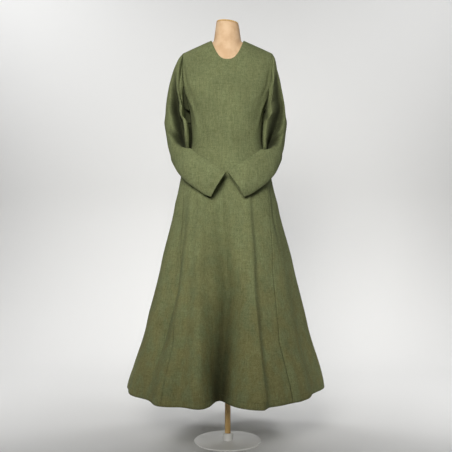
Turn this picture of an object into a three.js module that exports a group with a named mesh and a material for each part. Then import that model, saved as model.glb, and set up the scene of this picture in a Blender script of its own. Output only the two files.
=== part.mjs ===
// A full-length wool dress in a plain early cut, hanging on a limbless dress form with a round-foot stand.
// Millimetres, +Z up, the front of the dress faces -Y. The origin is the middle of the foot's underside.
import * as THREE from "three";

// Cloth and gaps.
const CLOTH = 2;
const GAP = 0.3;
const HALF_GAP = GAP / 2;

// Heights of the dress.
const NECK_SIDE_Z = 1680;
const SHOULDER_TIP_Z = 1627;
const FRONT_NECK_Z = 1586;
const BACK_NECK_Z = 1664;
const UNDERARM_Z = 1384;
const HIP_Z = 1121;
const HEM_Z = 223;

// Widths of the dress at the top.
const NECK_HALF = 68;
const SHOULDER_HALF = 187;
const SHOULDER_SLOPE = (NECK_SIDE_Z - SHOULDER_TIP_Z) / (SHOULDER_HALF - NECK_HALF);
const SHOULDER_ROUND = 100;
const NECK_CURVE = 2.7;

// How far the skirt is turned on the form at the hem, in degrees, its left side forward.
const HEM_TURN = 7.6;

// Horizontal sections of the dress body, before its folds.
const BODY_SECTIONS = [
  { z: 1710, wide: 205, middle: -1, front: 68, back: 72 },
  { z: 1627, wide: 204.7, middle: -1, front: 76, back: 80 },
  { z: 1583, wide: 203, middle: -2, front: 82, back: 92 },
  { z: 1540, wide: 202, middle: -3, front: 95, back: 100 },
  { z: 1488, wide: 195, middle: -3, front: 108, back: 104 },
  { z: 1434, wide: 171, middle: -3, front: 115, back: 102 },
  { z: 1384, wide: 154, middle: -4, front: 113, back: 96 },
  { z: 1322, wide: 147.5, middle: -4, front: 106, back: 88 },
  { z: 1250, wide: 146, middle: -4, front: 101, back: 86 },
  { z: 1190, wide: 163, middle: -5, front: 108, back: 100 },
  { z: 1121, wide: 188, middle: -6, front: 122, back: 122 },
  { z: 995, wide: 217, middle: -4, front: 150, back: 152 },
  { z: 744, wide: 277.5, middle: -1, front: 207, back: 212 },
  { z: 491, wide: 339, middle: 0, front: 265, back: 272 },
  { z: 223, wide: 415, middle: -1, front: 335, back: 345 },
];

// Where the front and back panels end, in degrees from the centre front: armhole, side seam, gore seam.
const SEAM_ANGLES = [
  { z: 1627, angle: 66, shift: 0 },
  { z: 1488, angle: 66, shift: 0 },
  { z: 1458, angle: 72, shift: 0 },
  { z: 1430, angle: 79, shift: 0 },
  { z: 1406, angle: 85, shift: 0 },
  { z: 1384, angle: 90, shift: 0 },
  { z: 1235, angle: 90, shift: 0 },
  { z: 1160, angle: 70, shift: -1 },
  { z: 995, angle: 56, shift: -3 },
  { z: 744, angle: 43, shift: -5 },
  { z: 454, angle: 35, shift: -5 },
  { z: 223, angle: 36, shift: -5 },
];

// Folds of the skirt. Angles in degrees from the centre front at three heights, heights out of the surface,
// and the half-widths in degrees on the fold's left and right.
const FOLD_TOP_Z = 1040;
const FOLD_MIDDLE_Z = 650;
const FOLD_FADE = 150;
const FOLDS = [
  { name: "left side dip", top: -60, middle: -55, hem: -64, high: [0, -8, -26], left: 7, right: 9 },
  { name: "left ridge", top: -46, middle: -43, hem: -46, high: [2, 10, 42], left: 13, right: 14 },
  { name: "left hip dip", top: -48, middle: -36, hem: -30, high: [-5, -6, -6], left: 5, right: 5 },
  { name: "left front ridge", top: -36, middle: -25, hem: -19, high: [8, 18, 58], left: 8, right: 4.5 },
  { name: "centre trough", top: -12, middle: -6, hem: -11, high: [-8, -32, -104], left: 6, right: 9 },
  { name: "right front ridge", top: 24, middle: 14, hem: 9, high: [8, 18, 50], left: 8, right: 4.5 },
  { name: "right ridge shoulder", top: 32, middle: 23, hem: 18, high: [0, 5, 18], left: 6, right: 9 },
  { name: "right side dip", top: 72, middle: 62, hem: 62, high: [-9, -13, -50], left: 10, right: 17 },
  { name: "right back ridge", top: 110, middle: 112, hem: 108, high: [0, 9, 26], left: 12, right: 9 },
  { name: "right back dip", top: 130, middle: 128, hem: 126, high: [-3, -12, -34], left: 9, right: 7 },
  { name: "back right ridge", top: 146, middle: 145, hem: 144, high: [5, 15, 36], left: 9, right: 7 },
  { name: "back right trough", top: 158, middle: 161, hem: 160, high: [-5, -18, -48], left: 7, right: 8 },
  { name: "back middle ridge", top: 172, middle: 176, hem: 179, high: [6, 17, 44], left: 9, right: 8 },
  { name: "back left trough", top: -168, middle: -166, hem: -162, high: [-5, -19, -52], left: 8, right: 7 },
  { name: "back left ridge", top: -152, middle: -149, hem: -146, high: [4, 14, 38], left: 8, right: 9 },
  { name: "left back dip", top: -128, middle: -129, hem: -127, high: [-3, -11, -30], left: 8, right: 10 },
  { name: "left back ridge", top: -108, middle: -108, hem: -106, high: [0, 8, 24], left: 10, right: 10 },
];

// Rows of the panels, as heights of the armhole and seam edge.
const ARMHOLE_ROWS = [SHOULDER_TIP_Z, 1624, 1616, 1600, 1577, 1549, 1519, 1488];
const GUSSET_ROWS = [1458, 1430, 1406, UNDERARM_Z];
const WAIST_ROWS = [1345, 1305, 1268, 1235];
const SKIRT_ROWS = [1160, 1090, 1015, 935, 850, 760, 670, 580, 490, 400, 310, HEM_Z];
const EDGE_ROWS = [...ARMHOLE_ROWS, ...GUSSET_ROWS, ...WAIST_ROWS, ...SKIRT_ROWS];
const FRONT_COLUMNS = 30;
const BACK_COLUMNS = 24;
const GORE_COLUMNS = 13;
const COLUMN_CROWDING = 0.3;
const GORE_POINT = 0.15;

// The first rings of a left sleeve: outer and inner points across, front and back along Y.
const SLEEVE_HEAD = [
  { outX: -187, outZ: 1627, inX: -183, inZ: 1398, front: -58, back: 60 },
  { outX: -206, outZ: 1604, inX: -182, inZ: 1395, front: -64, back: 68 },
  { outX: -227, outZ: 1558, inX: -181.5, inZ: 1389, front: -70, back: 76 },
  { outX: -243, outZ: 1504, inX: -181, inZ: 1379, front: -75, back: 80 },
  { outX: -253, outZ: 1452, inX: -180, inZ: 1362, front: -79, back: 78 },
  { outX: -259.5, outZ: 1398, inX: -177, inZ: 1338, front: -83, back: 72 },
];

// The rest of a sleeve, by its front or top edge, its back or lower edge and its half-thickness. Left sleeve.
const SLEEVE_ARM = [
  { frontX: -190, frontY: -88, frontZ: 1330, backX: -246, backY: 62, backZ: 1345, half: 44 },
  { frontX: -175, frontY: -96, frontZ: 1284, backX: -246, backY: 46, backZ: 1296, half: 41 },
  { frontX: -167, frontY: -103, frontZ: 1248, backX: -240, backY: 12, backZ: 1232, half: 36 },
  { frontX: -161, frontY: -110, frontZ: 1226, backX: -228, backY: -38, backZ: 1172, half: 31 },
  { frontX: -148, frontY: -122, frontZ: 1213, backX: -202, backY: -84, backZ: 1120, half: 27 },
  { frontX: -119, frontY: -142, frontZ: 1192, backX: -170, backY: -116, backZ: 1084, half: 24 },
  { frontX: -80, frontY: -160, frontZ: 1168, backX: -134, backY: -142, backZ: 1056, half: 22 },
  { frontX: -40, frontY: -172, frontZ: 1143, backX: -96, backY: -160, backZ: 1030, half: 20 },
  { frontX: -4, frontY: -179, frontZ: 1120, backX: -67, backY: -170, backZ: 1018, half: 18 },
];

// The right sleeve mirrors the left one and hangs this much closer to the body.
const RIGHT_CLOSER = [
  { z: 1627, closer: 1 },
  { z: 1560, closer: 19 },
  { z: 1480, closer: 22 },
  { z: 1380, closer: 19 },
  { z: 1240, closer: 14 },
  { z: 1150, closer: 10 },
  { z: 1060, closer: 2 },
];

// The slack that hangs in towards the body at the inner back of the upper arm, as [station, depth] rows.
const SLEEVE_SLACK = [
  [0, 0],
  [1, 12],
  [2, 36],
  [4.5, 42],
  [5.6, 60],
  [7.5, 59],
  [8.6, 38],
  [10.5, 0],
];
const SLACK_PLACE = { turn: -138, spread: 25, leftShare: 1, rightShare: 0.8 };

// How far the front of the upper arm leans in towards the body, as [station, distance] rows.
const SLEEVE_LEAN = [
  [0, 0],
  [2, 0],
  [3, 10],
  [4, 20],
  [5, 18],
  [6, 8],
  [7, 3],
  [8, 0],
];

const SLEEVE_RINGS = 22;
const TIP_RING_INDEX = ARMHOLE_ROWS.length - 1;
const RING_POINTS = 2 * (TIP_RING_INDEX + GUSSET_ROWS.length);
const HEAD_BLEND = 1.6;
const GUSSET_WIDE = 29;
const GUSSET_LIFT = 13;
const GUSSET_ACROSS = 3;
const GUSSET_TIP = 0.4;
const RING_SQUARE = { head: 2, cuff: 1.75 };

// The dress form from the neck's top down: each ring's half-widths, and its heights at side, front and back.
const FORM_RINGS = [
  { wide: 47, front: 46, back: 48, sideZ: 1752, frontZ: 1752, backZ: 1752 },
  { wide: 51, front: 50, back: 52, sideZ: 1726, frontZ: 1724, backZ: 1726 },
  { wide: 54, front: 53, back: 54, sideZ: 1704, frontZ: 1690, backZ: 1700 },
  { wide: 59, front: 56, back: 55, sideZ: 1673, frontZ: 1628, backZ: 1655 },
  { wide: 86, front: 61, back: 60, sideZ: 1668.8, frontZ: 1588, backZ: 1618 },
  { wide: 115, front: 73, back: 69, sideZ: 1656.3, frontZ: 1572, backZ: 1600 },
  { wide: 140, front: 79, back: 75, sideZ: 1645.2, frontZ: 1546, backZ: 1572 },
  { wide: 151, front: 85, back: 80, sideZ: 1630, frontZ: 1525, backZ: 1545 },
  { wide: 154, front: 93, back: 86, sideZ: 1603, frontZ: 1498, backZ: 1515 },
  { wide: 150, front: 101, back: 90, sideZ: 1548, frontZ: 1462, backZ: 1475 },
  { wide: 142, front: 105, back: 90, sideZ: 1470, frontZ: 1425, backZ: 1440 },
  { wide: 134, front: 100, back: 84, sideZ: 1390, frontZ: 1375, backZ: 1385 },
  { wide: 124, front: 90, back: 76, sideZ: 1320, frontZ: 1315, backZ: 1318 },
  { wide: 120, front: 84, back: 72, sideZ: 1255, frontZ: 1255, backZ: 1255 },
  { wide: 134, front: 90, back: 82, sideZ: 1190, frontZ: 1190, backZ: 1190 },
  { wide: 154, front: 102, back: 100, sideZ: 1110, frontZ: 1110, backZ: 1110 },
  { wide: 161, front: 108, back: 108, sideZ: 1030, frontZ: 1030, backZ: 1030 },
  { wide: 158, front: 106, back: 106, sideZ: 945, frontZ: 945, backZ: 945 },
  { wide: 152, front: 100, back: 100, sideZ: 932, frontZ: 932, backZ: 932 },
];
const FORM_SIDES = 32;
const FORM_SHOULDER_EASE = 2.6;
const NECK_TOP_TILT = 0.1;

// Neck plate, pole and foot of the stand.
const NECK_PLATE = { radius: 46, high: 6 };
const POLE_RADIUS = 12;
const FLANGE = { radius: 38, high: 9 };
const FOOT = { radius: 140, high: 5, bevel: 1.5 };
const COLLAR = { radius: 21, high: 30, bevel: 3 };
const ROUND_SIDES = 32;

// How strongly a spline follows its neighbouring rows.
const SPLINE_PULL = 0.4;

// Steps for the slopes of the surface, in degrees and mm.
const SLOPE_STEP = { angle: 0.6, down: 3 };

const rad = THREE.MathUtils.degToRad;

// The value of a table's column at a height, eased between rows. Rows run from high to low.
function columnAt(rows, column, z) {
  if (z >= rows[0].z) return rows[0][column];
  const last = rows.length - 1;
  if (z <= rows[last].z) return rows[last][column];
  const i = rows.findIndex((row) => row.z <= z) - 1;
  const t = (rows[i].z - z) / (rows[i].z - rows[i + 1].z);
  const before = rows[Math.max(i - 1, 0)][column];
  const after = rows[Math.min(i + 2, last)][column];
  return catmull(before, rows[i][column], rows[i + 1][column], after, t);
}

// The straight-line value of a table's column at a height.
function linearAt(rows, column, z) {
  if (z >= rows[0].z) return rows[0][column];
  const last = rows.length - 1;
  if (z <= rows[last].z) return rows[last][column];
  const i = rows.findIndex((row) => row.z <= z) - 1;
  const t = (rows[i].z - z) / (rows[i].z - rows[i + 1].z);
  return rows[i][column] + (rows[i + 1][column] - rows[i][column]) * t;
}

// A soft spline between b and c, flattened a little so that it never swings past its rows.
function catmull(a, b, c, d, t) {
  const m1 = (c - a) * SPLINE_PULL;
  const m2 = (d - b) * SPLINE_PULL;
  const t2 = t * t;
  const t3 = t2 * t;
  return (2 * t3 - 3 * t2 + 1) * b + (t3 - 2 * t2 + t) * m1 + (3 * t2 - 2 * t3) * c + (t3 - t2) * m2;
}

// Height of the shoulder line above a point at x from the middle.
function shoulderLine(x) {
  return NECK_SIDE_Z - (Math.abs(x) - NECK_HALF) * SHOULDER_SLOPE;
}

// 0 on the shoulder line, 1 a hand's width below it: how far the cloth has rounded over.
function roundOver(x, z) {
  const drop = THREE.MathUtils.clamp((shoulderLine(x) - z) / SHOULDER_ROUND, 0, 1);
  return Math.sqrt(1 - (1 - drop) ** 2);
}

// How far a fold stands out of the surface at an angle and height.
function foldHeight(fold, angle, z) {
  const rows = [
    { z: FOLD_TOP_Z + FOLD_FADE, angle: fold.top, high: 0 },
    { z: FOLD_TOP_Z, angle: fold.top, high: fold.high[0] },
    { z: FOLD_MIDDLE_Z, angle: fold.middle, high: fold.high[1] },
    { z: HEM_Z, angle: fold.hem, high: fold.high[2] },
  ];
  let away = angle - linearAt(rows, "angle", z);
  away -= 360 * Math.round(away / 360);
  const reach = away < 0 ? fold.left : fold.right;
  return linearAt(rows, "high", z) * Math.exp(-((away / reach) ** 2));
}

// A point on the outside of the dress body, by its angle from the centre front (positive to +X) and height.
function bodyPoint(angle, z) {
  const wide = columnAt(BODY_SECTIONS, "wide", z);
  const deep = columnAt(BODY_SECTIONS, Math.cos(rad(angle)) > 0 ? "front" : "back", z);
  const flat = new THREE.Vector3(wide * Math.sin(rad(angle)), -deep * Math.cos(rad(angle)), 0);
  const out = new THREE.Vector3(flat.x / wide ** 2, flat.y / deep ** 2, 0).normalize();
  flat.y *= roundOver(flat.x, z);
  const fold = FOLDS.reduce((sum, row) => sum + foldHeight(row, angle, z), 0);
  flat.addScaledVector(out, fold);
  const turn = HEM_TURN * THREE.MathUtils.clamp((HIP_Z - z) / (HIP_Z - HEM_Z), 0, 1);
  flat.applyAxisAngle(new THREE.Vector3(0, 0, 1), rad(turn));
  flat.x += columnAt(BODY_SECTIONS, "middle", z);
  flat.z = z;
  return flat;
}

// The outward direction of the dress body at an angle and height.
function bodyNormal(angle, z) {
  const across = bodyPoint(angle + SLOPE_STEP.angle, z).sub(bodyPoint(angle - SLOPE_STEP.angle, z));
  const up = bodyPoint(angle, z).sub(bodyPoint(angle, z - SLOPE_STEP.down));
  return across.cross(up).normalize();
}

// The angle that half a seam gap takes up at a height, in degrees.
function gapAngle(z) {
  return THREE.MathUtils.radToDeg(HALF_GAP / columnAt(BODY_SECTIONS, "front", z));
}

// The angles of the four seams round the body at a height, anticlockwise from the front panel's left edge.
function seamsAt(z) {
  const angle = linearAt(SEAM_ANGLES, "angle", z);
  const shift = linearAt(SEAM_ANGLES, "shift", z);
  return {
    frontLeft: shift - angle,
    frontRight: shift + angle,
    backRight: shift + 180 - angle,
    backLeft: shift + 180 + angle,
    nextFrontLeft: shift + 360 - angle,
  };
}

// A panel's top edge at x from the middle: the neckline or the shoulder seam.
function topHeight(x, neckLow) {
  if (Math.abs(x) >= NECK_HALF) return shoulderLine(x);
  return neckLow + (NECK_SIDE_Z - neckLow) * (Math.abs(x) / NECK_HALF) ** NECK_CURVE;
}

// Spreads -1..1 so that columns lie closer together in the middle.
function crowd(t) {
  return t * (1 - COLUMN_CROWDING) + t ** 3 * COLUMN_CROWDING;
}

// The height of a panel's point, from its edge's height and its top edge. Rows are level below the underarm.
function rowHeight(edgeZ, top) {
  if (edgeZ <= UNDERARM_Z) return edgeZ;
  return top - (top - UNDERARM_Z) * ((SHOULDER_TIP_Z - edgeZ) / (SHOULDER_TIP_Z - UNDERARM_Z));
}

// A surface point with its outward direction.
function bodySpot(angle, z) {
  return { point: bodyPoint(angle, z), out: bodyNormal(angle, z) };
}

// The front or back panel as rows of surface spots, from its top edge to the hem.
function panelGrid(columns, leftSeam, rightSeam, neckLow) {
  const facing = leftSeam === "frontLeft" ? -1 : 1;
  const tip = seamsAt(SHOULDER_TIP_Z);
  return EDGE_ROWS.map((edgeZ, r) => {
    const seams = seamsAt(edgeZ);
    const pull = gapAngle(edgeZ);
    return Array.from({ length: columns + 1 }, (_, c) => {
      const share = (crowd((2 * c) / columns - 1) + 1) / 2;
      const topAngle = THREE.MathUtils.lerp(tip[leftSeam], tip[rightSeam], share);
      const topX = columnAt(BODY_SECTIONS, "wide", SHOULDER_TIP_Z) * Math.sin(rad(topAngle));
      const angle = THREE.MathUtils.lerp(seams[leftSeam] + pull, seams[rightSeam] - pull, share);
      const top = topHeight(topX, neckLow);
      const z = rowHeight(edgeZ, top);
      const spot = bodySpot(angle, z);
      if (r === 0 && Math.abs(topX) >= NECK_HALF) {
        spot.point.y = facing * HALF_GAP;
        spot.out.setY(0).normalize();
      }
      return spot;
    });
  });
}

// A side gore as rows of surface spots, from its point at the waist to the hem.
function goreGrid(leftSeam, rightSeam) {
  const rows = SKIRT_ROWS.map((z) => {
    const seams = seamsAt(z);
    const pull = gapAngle(z);
    return Array.from({ length: GORE_COLUMNS + 1 }, (_, c) => {
      const share = c / GORE_COLUMNS;
      return bodySpot(THREE.MathUtils.lerp(seams[leftSeam] + pull, seams[rightSeam] - pull, share), z);
    });
  });
  const waistZ = WAIST_ROWS[WAIST_ROWS.length - 1];
  const point = bodySpot(seamsAt(waistZ)[leftSeam], waistZ);
  const first = rows[0].map((spot) => mixSpots(point, spot, GORE_POINT));
  return [first, ...rows];
}

// The spot a share of the way from one spot to another.
function mixSpots(a, b, share) {
  return { point: a.point.clone().lerp(b.point, share), out: a.out.clone().lerp(b.out, share).normalize() };
}

// Turns grid rows of outer and inner points into one closed body. A ring joins its last column to its first.
function closedBody(outer, inner, isRing) {
  const rows = outer.length;
  const columns = outer[0].length;
  const positions = [...outer.flat(), ...inner.flat()].flatMap((p) => [p.x, p.y, p.z]);
  const index = [];
  const at = (layer, r, c) => layer * rows * columns + r * columns + (c % columns);
  const quad = (a, b, c, d) => index.push(a, b, c, a, c, d);
  const spans = isRing ? columns : columns - 1;
  for (let r = 0; r < rows - 1; r++) {
    for (let c = 0; c < spans; c++) {
      quad(at(0, r, c), at(0, r + 1, c), at(0, r + 1, c + 1), at(0, r, c + 1));
      quad(at(1, r, c), at(1, r, c + 1), at(1, r + 1, c + 1), at(1, r + 1, c));
    }
    if (isRing) continue;
    quad(at(0, r, 0), at(1, r, 0), at(1, r + 1, 0), at(0, r + 1, 0));
    quad(at(0, r, columns - 1), at(0, r + 1, columns - 1), at(1, r + 1, columns - 1), at(1, r, columns - 1));
  }
  for (let c = 0; c < spans; c++) {
    quad(at(0, 0, c), at(0, 0, c + 1), at(1, 0, c + 1), at(1, 0, c));
    quad(at(0, rows - 1, c), at(1, rows - 1, c), at(1, rows - 1, c + 1), at(0, rows - 1, c + 1));
  }
  return facingOut(positions, index);
}

// A geometry from positions and triangles, turned to face outwards if they enclose a negative volume.
function facingOut(positions, index) {
  const corner = (i) => new THREE.Vector3().fromArray(positions, 3 * index[i]);
  let volume = 0;
  for (let i = 0; i < index.length; i += 3) {
    volume += corner(i).dot(corner(i + 1).cross(corner(i + 2)));
  }
  if (volume < 0) index.reverse();
  const geometry = new THREE.BufferGeometry();
  geometry.setAttribute("position", new THREE.Float32BufferAttribute(positions, 3));
  geometry.setIndex(index);
  geometry.computeVertexNormals();
  return geometry;
}

// The cloth wall on a grid of spots: the spots lie on its outside.
function clothWall(grid, isRing = false) {
  const outer = grid.map((row) => row.map((spot) => spot.point));
  const inner = grid.map((row) => row.map((spot) => spot.point.clone().addScaledVector(spot.out, -CLOTH)));
  return closedBody(outer, inner, isRing);
}

// The armhole of one side as a ring of spots: down the front edge, under the arm, and up the back edge.
function armholeRing(side) {
  const front = side < 0 ? "frontLeft" : "frontRight";
  const back = side < 0 ? "backLeft" : "backRight";
  const heights = [...ARMHOLE_ROWS, ...GUSSET_ROWS];
  const down = heights.map((z) => bodySpot(seamsAt(z)[front], z));
  const up = heights.slice(1, -1).map((z) => bodySpot(seamsAt(z)[back], z));
  const ring = [...down, ...up.reverse()];
  ring[0].out.setY(0).normalize();
  return ring;
}

// The sleeve's first ring: the armhole moved out by a seam gap, and by the gusset's width under the arm.
function sleeveTop(side) {
  const ring = armholeRing(side);
  return ring.map((spot, j) => {
    const under = (j - TIP_RING_INDEX) / (2 * GUSSET_ROWS.length);
    const wave = under > 0 && under < 1 ? Math.sin(Math.PI * under) : 0;
    const shift = new THREE.Vector3(side * (GAP + GUSSET_WIDE * wave), 0, GUSSET_LIFT * wave);
    return { point: spot.point.clone().add(shift), out: spot.out, isOnBody: wave === 0 };
  });
}

// The sleeve's stations as centre, wide half-axis (to the front or top edge) and thin half-axis (outwards).
function sleeveStations() {
  const head = SLEEVE_HEAD.map((row) => {
    const outer = new THREE.Vector3(row.outX, 0, row.outZ);
    const inner = new THREE.Vector3(row.inX, 0, row.inZ);
    const centre = outer.clone().add(inner).multiplyScalar(0.5).setY((row.front + row.back) / 2);
    const wide = new THREE.Vector3(0, (row.front - row.back) / 2, 0);
    return { centre, wide, thin: outer.sub(inner).multiplyScalar(0.5) };
  });
  const arm = SLEEVE_ARM.map((row) => {
    const front = new THREE.Vector3(row.frontX, row.frontY, row.frontZ);
    const back = new THREE.Vector3(row.backX, row.backY, row.backZ);
    const wide = front.clone().sub(back).multiplyScalar(0.5);
    const thin = new THREE.Vector3(wide.y, -wide.x, 0).normalize().multiplyScalar(row.half);
    return { centre: front.add(back).multiplyScalar(0.5), wide, thin };
  });
  return [...head, ...arm];
}

// A vector of the stations, splined between them.
function stationVector(stations, name, s) {
  const i = Math.min(Math.floor(s), stations.length - 2);
  const at = (k) => stations[THREE.MathUtils.clamp(k, 0, stations.length - 1)][name];
  const part = (axis) => catmull(at(i - 1)[axis], at(i)[axis], at(i + 1)[axis], at(i + 2)[axis], s - i);
  return new THREE.Vector3(part("x"), part("y"), part("z"));
}

// The value at a station of [station, value] rows, straight between them and level beyond them.
function valueAt(rows, station) {
  const next = rows.findIndex(([at]) => at >= station);
  if (next <= 0) return next === 0 ? rows[0][1] : rows[rows.length - 1][1];
  const [[fromAt, from], [toAt, to]] = [rows[next - 1], rows[next]];
  return THREE.MathUtils.mapLinear(station, fromAt, toAt, from, to);
}

// The point j of a left sleeve's section at station s, before the armhole is blended in.
function sectionPoint(stations, s, j, slackShare) {
  const centre = stationVector(stations, "centre", s);
  const wide = stationVector(stations, "wide", s);
  const thin = stationVector(stations, "thin", s);
  const square = THREE.MathUtils.lerp(RING_SQUARE.head, RING_SQUARE.cuff, s / (stations.length - 1));
  const turn = Math.PI / 2 - (2 * Math.PI * j) / RING_POINTS;
  const along = Math.sign(Math.cos(turn)) * Math.abs(Math.cos(turn)) ** (2 / square);
  const up = Math.sign(Math.sin(turn)) * Math.abs(Math.sin(turn)) ** (2 / square);
  const point = centre.addScaledVector(wide, along).addScaledVector(thin, up);
  const away = (THREE.MathUtils.radToDeg(turn) - SLACK_PLACE.turn) / SLACK_PLACE.spread;
  const slack = valueAt(SLEEVE_SLACK, s) * slackShare * Math.exp(-(away ** 2));
  const lean = valueAt(SLEEVE_LEAN, s) * Math.max(0, Math.cos(turn)) ** 2;
  return point.setX(point.x + slack + lean);
}

// Puts a point of the left sleeve on a side: the right one is mirrored and hangs closer.
function onSide(point, side) {
  if (side < 0) return point;
  return point.setX(-point.x - linearAt(RIGHT_CLOSER, "closer", point.z));
}

// A sleeve as rings of spots from the armhole to the cuff.
function sleeveGrid(side) {
  const stations = sleeveStations();
  const slackShare = side < 0 ? SLACK_PLACE.leftShare : SLACK_PLACE.rightShare;
  const top = sleeveTop(side);
  const rings = [];
  for (let k = 0; k <= SLEEVE_RINGS; k++) {
    const s = (k / SLEEVE_RINGS) * (stations.length - 1);
    const fade = Math.max(0, 1 - s / HEAD_BLEND) ** 2;
    rings.push(
      top.map((spot, j) => {
        const base = onSide(sectionPoint(stations, s, j, slackShare), side);
        const start = onSide(sectionPoint(stations, 0, j, slackShare), side);
        return base.addScaledVector(spot.point.clone().sub(start), fade);
      }),
    );
  }
  return rings.map((ring, k) => {
    const middle = ring.reduce((sum, p) => sum.add(p), new THREE.Vector3()).divideScalar(ring.length);
    return ring.map((point, j) => {
      const out = gridNormal(rings, k, j, true);
      if (out.dot(point.clone().sub(middle)) < 0) out.negate();
      return { point, out: k === 0 && top[j].isOnBody ? top[j].out : out };
    });
  });
}

// The direction square to a grid of points at row r, column c.
function gridNormal(rows, r, c, isRing) {
  const n = rows[r].length;
  const low = rows[Math.max(r - 1, 0)][c];
  const high = rows[Math.min(r + 1, rows.length - 1)][c];
  const before = isRing ? rows[r][(c + n - 1) % n] : rows[r][Math.max(c - 1, 0)];
  const after = isRing ? rows[r][(c + 1) % n] : rows[r][Math.min(c + 1, n - 1)];
  return high.clone().sub(low).cross(after.clone().sub(before)).normalize();
}

// The underarm gusset, between the armhole's lower part and the sleeve's first ring.
function gussetGrid(side) {
  const body = armholeRing(side);
  const sleeve = sleeveTop(side);
  const last = 2 * GUSSET_ROWS.length;
  const rows = [];
  for (let i = 0; i <= last; i++) {
    const u = i === 0 ? GUSSET_TIP : i === last ? last - GUSSET_TIP : i;
    const j = TIP_RING_INDEX + Math.floor(u);
    const from = body[j].point.clone().lerp(body[j + 1].point, u % 1);
    const to = sleeve[j].point.clone().lerp(sleeve[j + 1].point, u % 1);
    const across = to.clone().sub(from).normalize().multiplyScalar(GAP);
    from.add(across);
    to.sub(across);
    rows.push(Array.from({ length: GUSSET_ACROSS + 1 }, (_, c) => from.clone().lerp(to, c / GUSSET_ACROSS)));
  }
  const flip = gridNormal(rows, GUSSET_ROWS.length, 1, false).z > 0 ? -1 : 1;
  return rows.map((row, r) =>
    row.map((point, c) => ({ point, out: gridNormal(rows, r, c, false).multiplyScalar(flip) })),
  );
}

// The solid limbless form: rings from the neck's top to the flat underside.
function formBody() {
  const rings = FORM_RINGS.map((row, k) => {
    const middle = columnAt(BODY_SECTIONS, "middle", row.sideZ);
    return Array.from({ length: FORM_SIDES }, (_, i) => {
      const turn = (2 * Math.PI * i) / FORM_SIDES;
      const isFront = Math.cos(turn) > 0;
      const x = row.wide * Math.sin(turn);
      const y = -(isFront ? row.front : row.back) * Math.cos(turn);
      const share = Math.abs(Math.sin(turn)) ** FORM_SHOULDER_EASE;
      const z = THREE.MathUtils.lerp(isFront ? row.frontZ : row.backZ, row.sideZ, share);
      return new THREE.Vector3(x + middle, y, z - (k === 0 ? NECK_TOP_TILT * x : 0));
    });
  });
  return ringSolid(rings);
}

// A closed solid through rings, its two ends closed by a fan to their middles.
function ringSolid(rings) {
  const sides = rings[0].length;
  const ends = [rings[0], rings[rings.length - 1]].map((ring) =>
    ring.reduce((sum, p) => sum.add(p), new THREE.Vector3()).divideScalar(sides),
  );
  const positions = [...rings.flat(), ...ends].flatMap((p) => [p.x, p.y, p.z]);
  const index = [];
  const first = rings.length * sides;
  for (let i = 0; i < sides; i++) {
    const next = (i + 1) % sides;
    for (let r = 0; r < rings.length - 1; r++) {
      const here = r * sides;
      const below = here + sides;
      index.push(here + i, below + i, below + next, here + i, below + next, here + next);
    }
    index.push(first, i, next);
    index.push(first + 1, first - sides + next, first - sides + i);
  }
  return facingOut(positions, index);
}

// A standing cylinder between two heights.
function uprightRod(radius, fromZ, toZ) {
  const rod = new THREE.CylinderGeometry(radius, radius, toZ - fromZ, ROUND_SIDES);
  rod.rotateX(Math.PI / 2);
  rod.translate(0, 0, (fromZ + toZ) / 2);
  return rod;
}

// A solid or ring turned about the upright axis from a profile of radius and height.
function turned(profile) {
  const shape = new THREE.LatheGeometry(
    profile.map(([radius, z]) => new THREE.Vector2(radius, z)),
    ROUND_SIDES,
  );
  return shape.rotateX(Math.PI / 2);
}

// The flat plate on the neck, tilted as the neck's top is.
function neckPlate() {
  const top = FORM_RINGS[0];
  const plate = uprightRod(NECK_PLATE.radius, GAP, NECK_PLATE.high);
  plate.rotateY(Math.atan(NECK_TOP_TILT));
  return plate.translate(columnAt(BODY_SECTIONS, "middle", top.sideZ), 0, top.sideZ);
}

// The foot: a thin round plate with an eased upper edge.
function footPlate() {
  const { radius, high, bevel } = FOOT;
  return turned([
    [0, 0],
    [radius, 0],
    [radius, high - bevel],
    [radius - bevel, high],
    [0, high],
  ]);
}

// The collar that holds the pole on the foot.
function poleCollar() {
  const inner = POLE_RADIUS + GAP;
  const low = FOOT.high + GAP;
  return turned([
    [inner, low],
    [COLLAR.radius, low],
    [COLLAR.radius, low + COLLAR.high - COLLAR.bevel],
    [COLLAR.radius - COLLAR.bevel, low + COLLAR.high],
    [inner, low + COLLAR.high],
    [inner, low],
  ]);
}

const FORM_BOTTOM_Z = FORM_RINGS[FORM_RINGS.length - 1].sideZ;
const FLANGE_TOP_Z = FORM_BOTTOM_Z - GAP;
const FLANGE_LOW_Z = FLANGE_TOP_Z - FLANGE.high;

const WOOL = { color: 0x777d59, roughness: 0.93, metalness: 0 };
const FORM_COVER = { color: 0xe1be97, roughness: 0.75, metalness: 0 };
const BARE_WOOD = { color: 0xd8bd93, roughness: 0.6, metalness: 0 };
const PALE_METAL = { color: 0xe4e3df, roughness: 0.45, metalness: 0.1 };

const part = new THREE.Group();

// Adds one named piece.
function addPiece(name, geometry, look) {
  const mesh = new THREE.Mesh(geometry, new THREE.MeshStandardMaterial(look));
  mesh.name = name;
  part.add(mesh);
}

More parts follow.
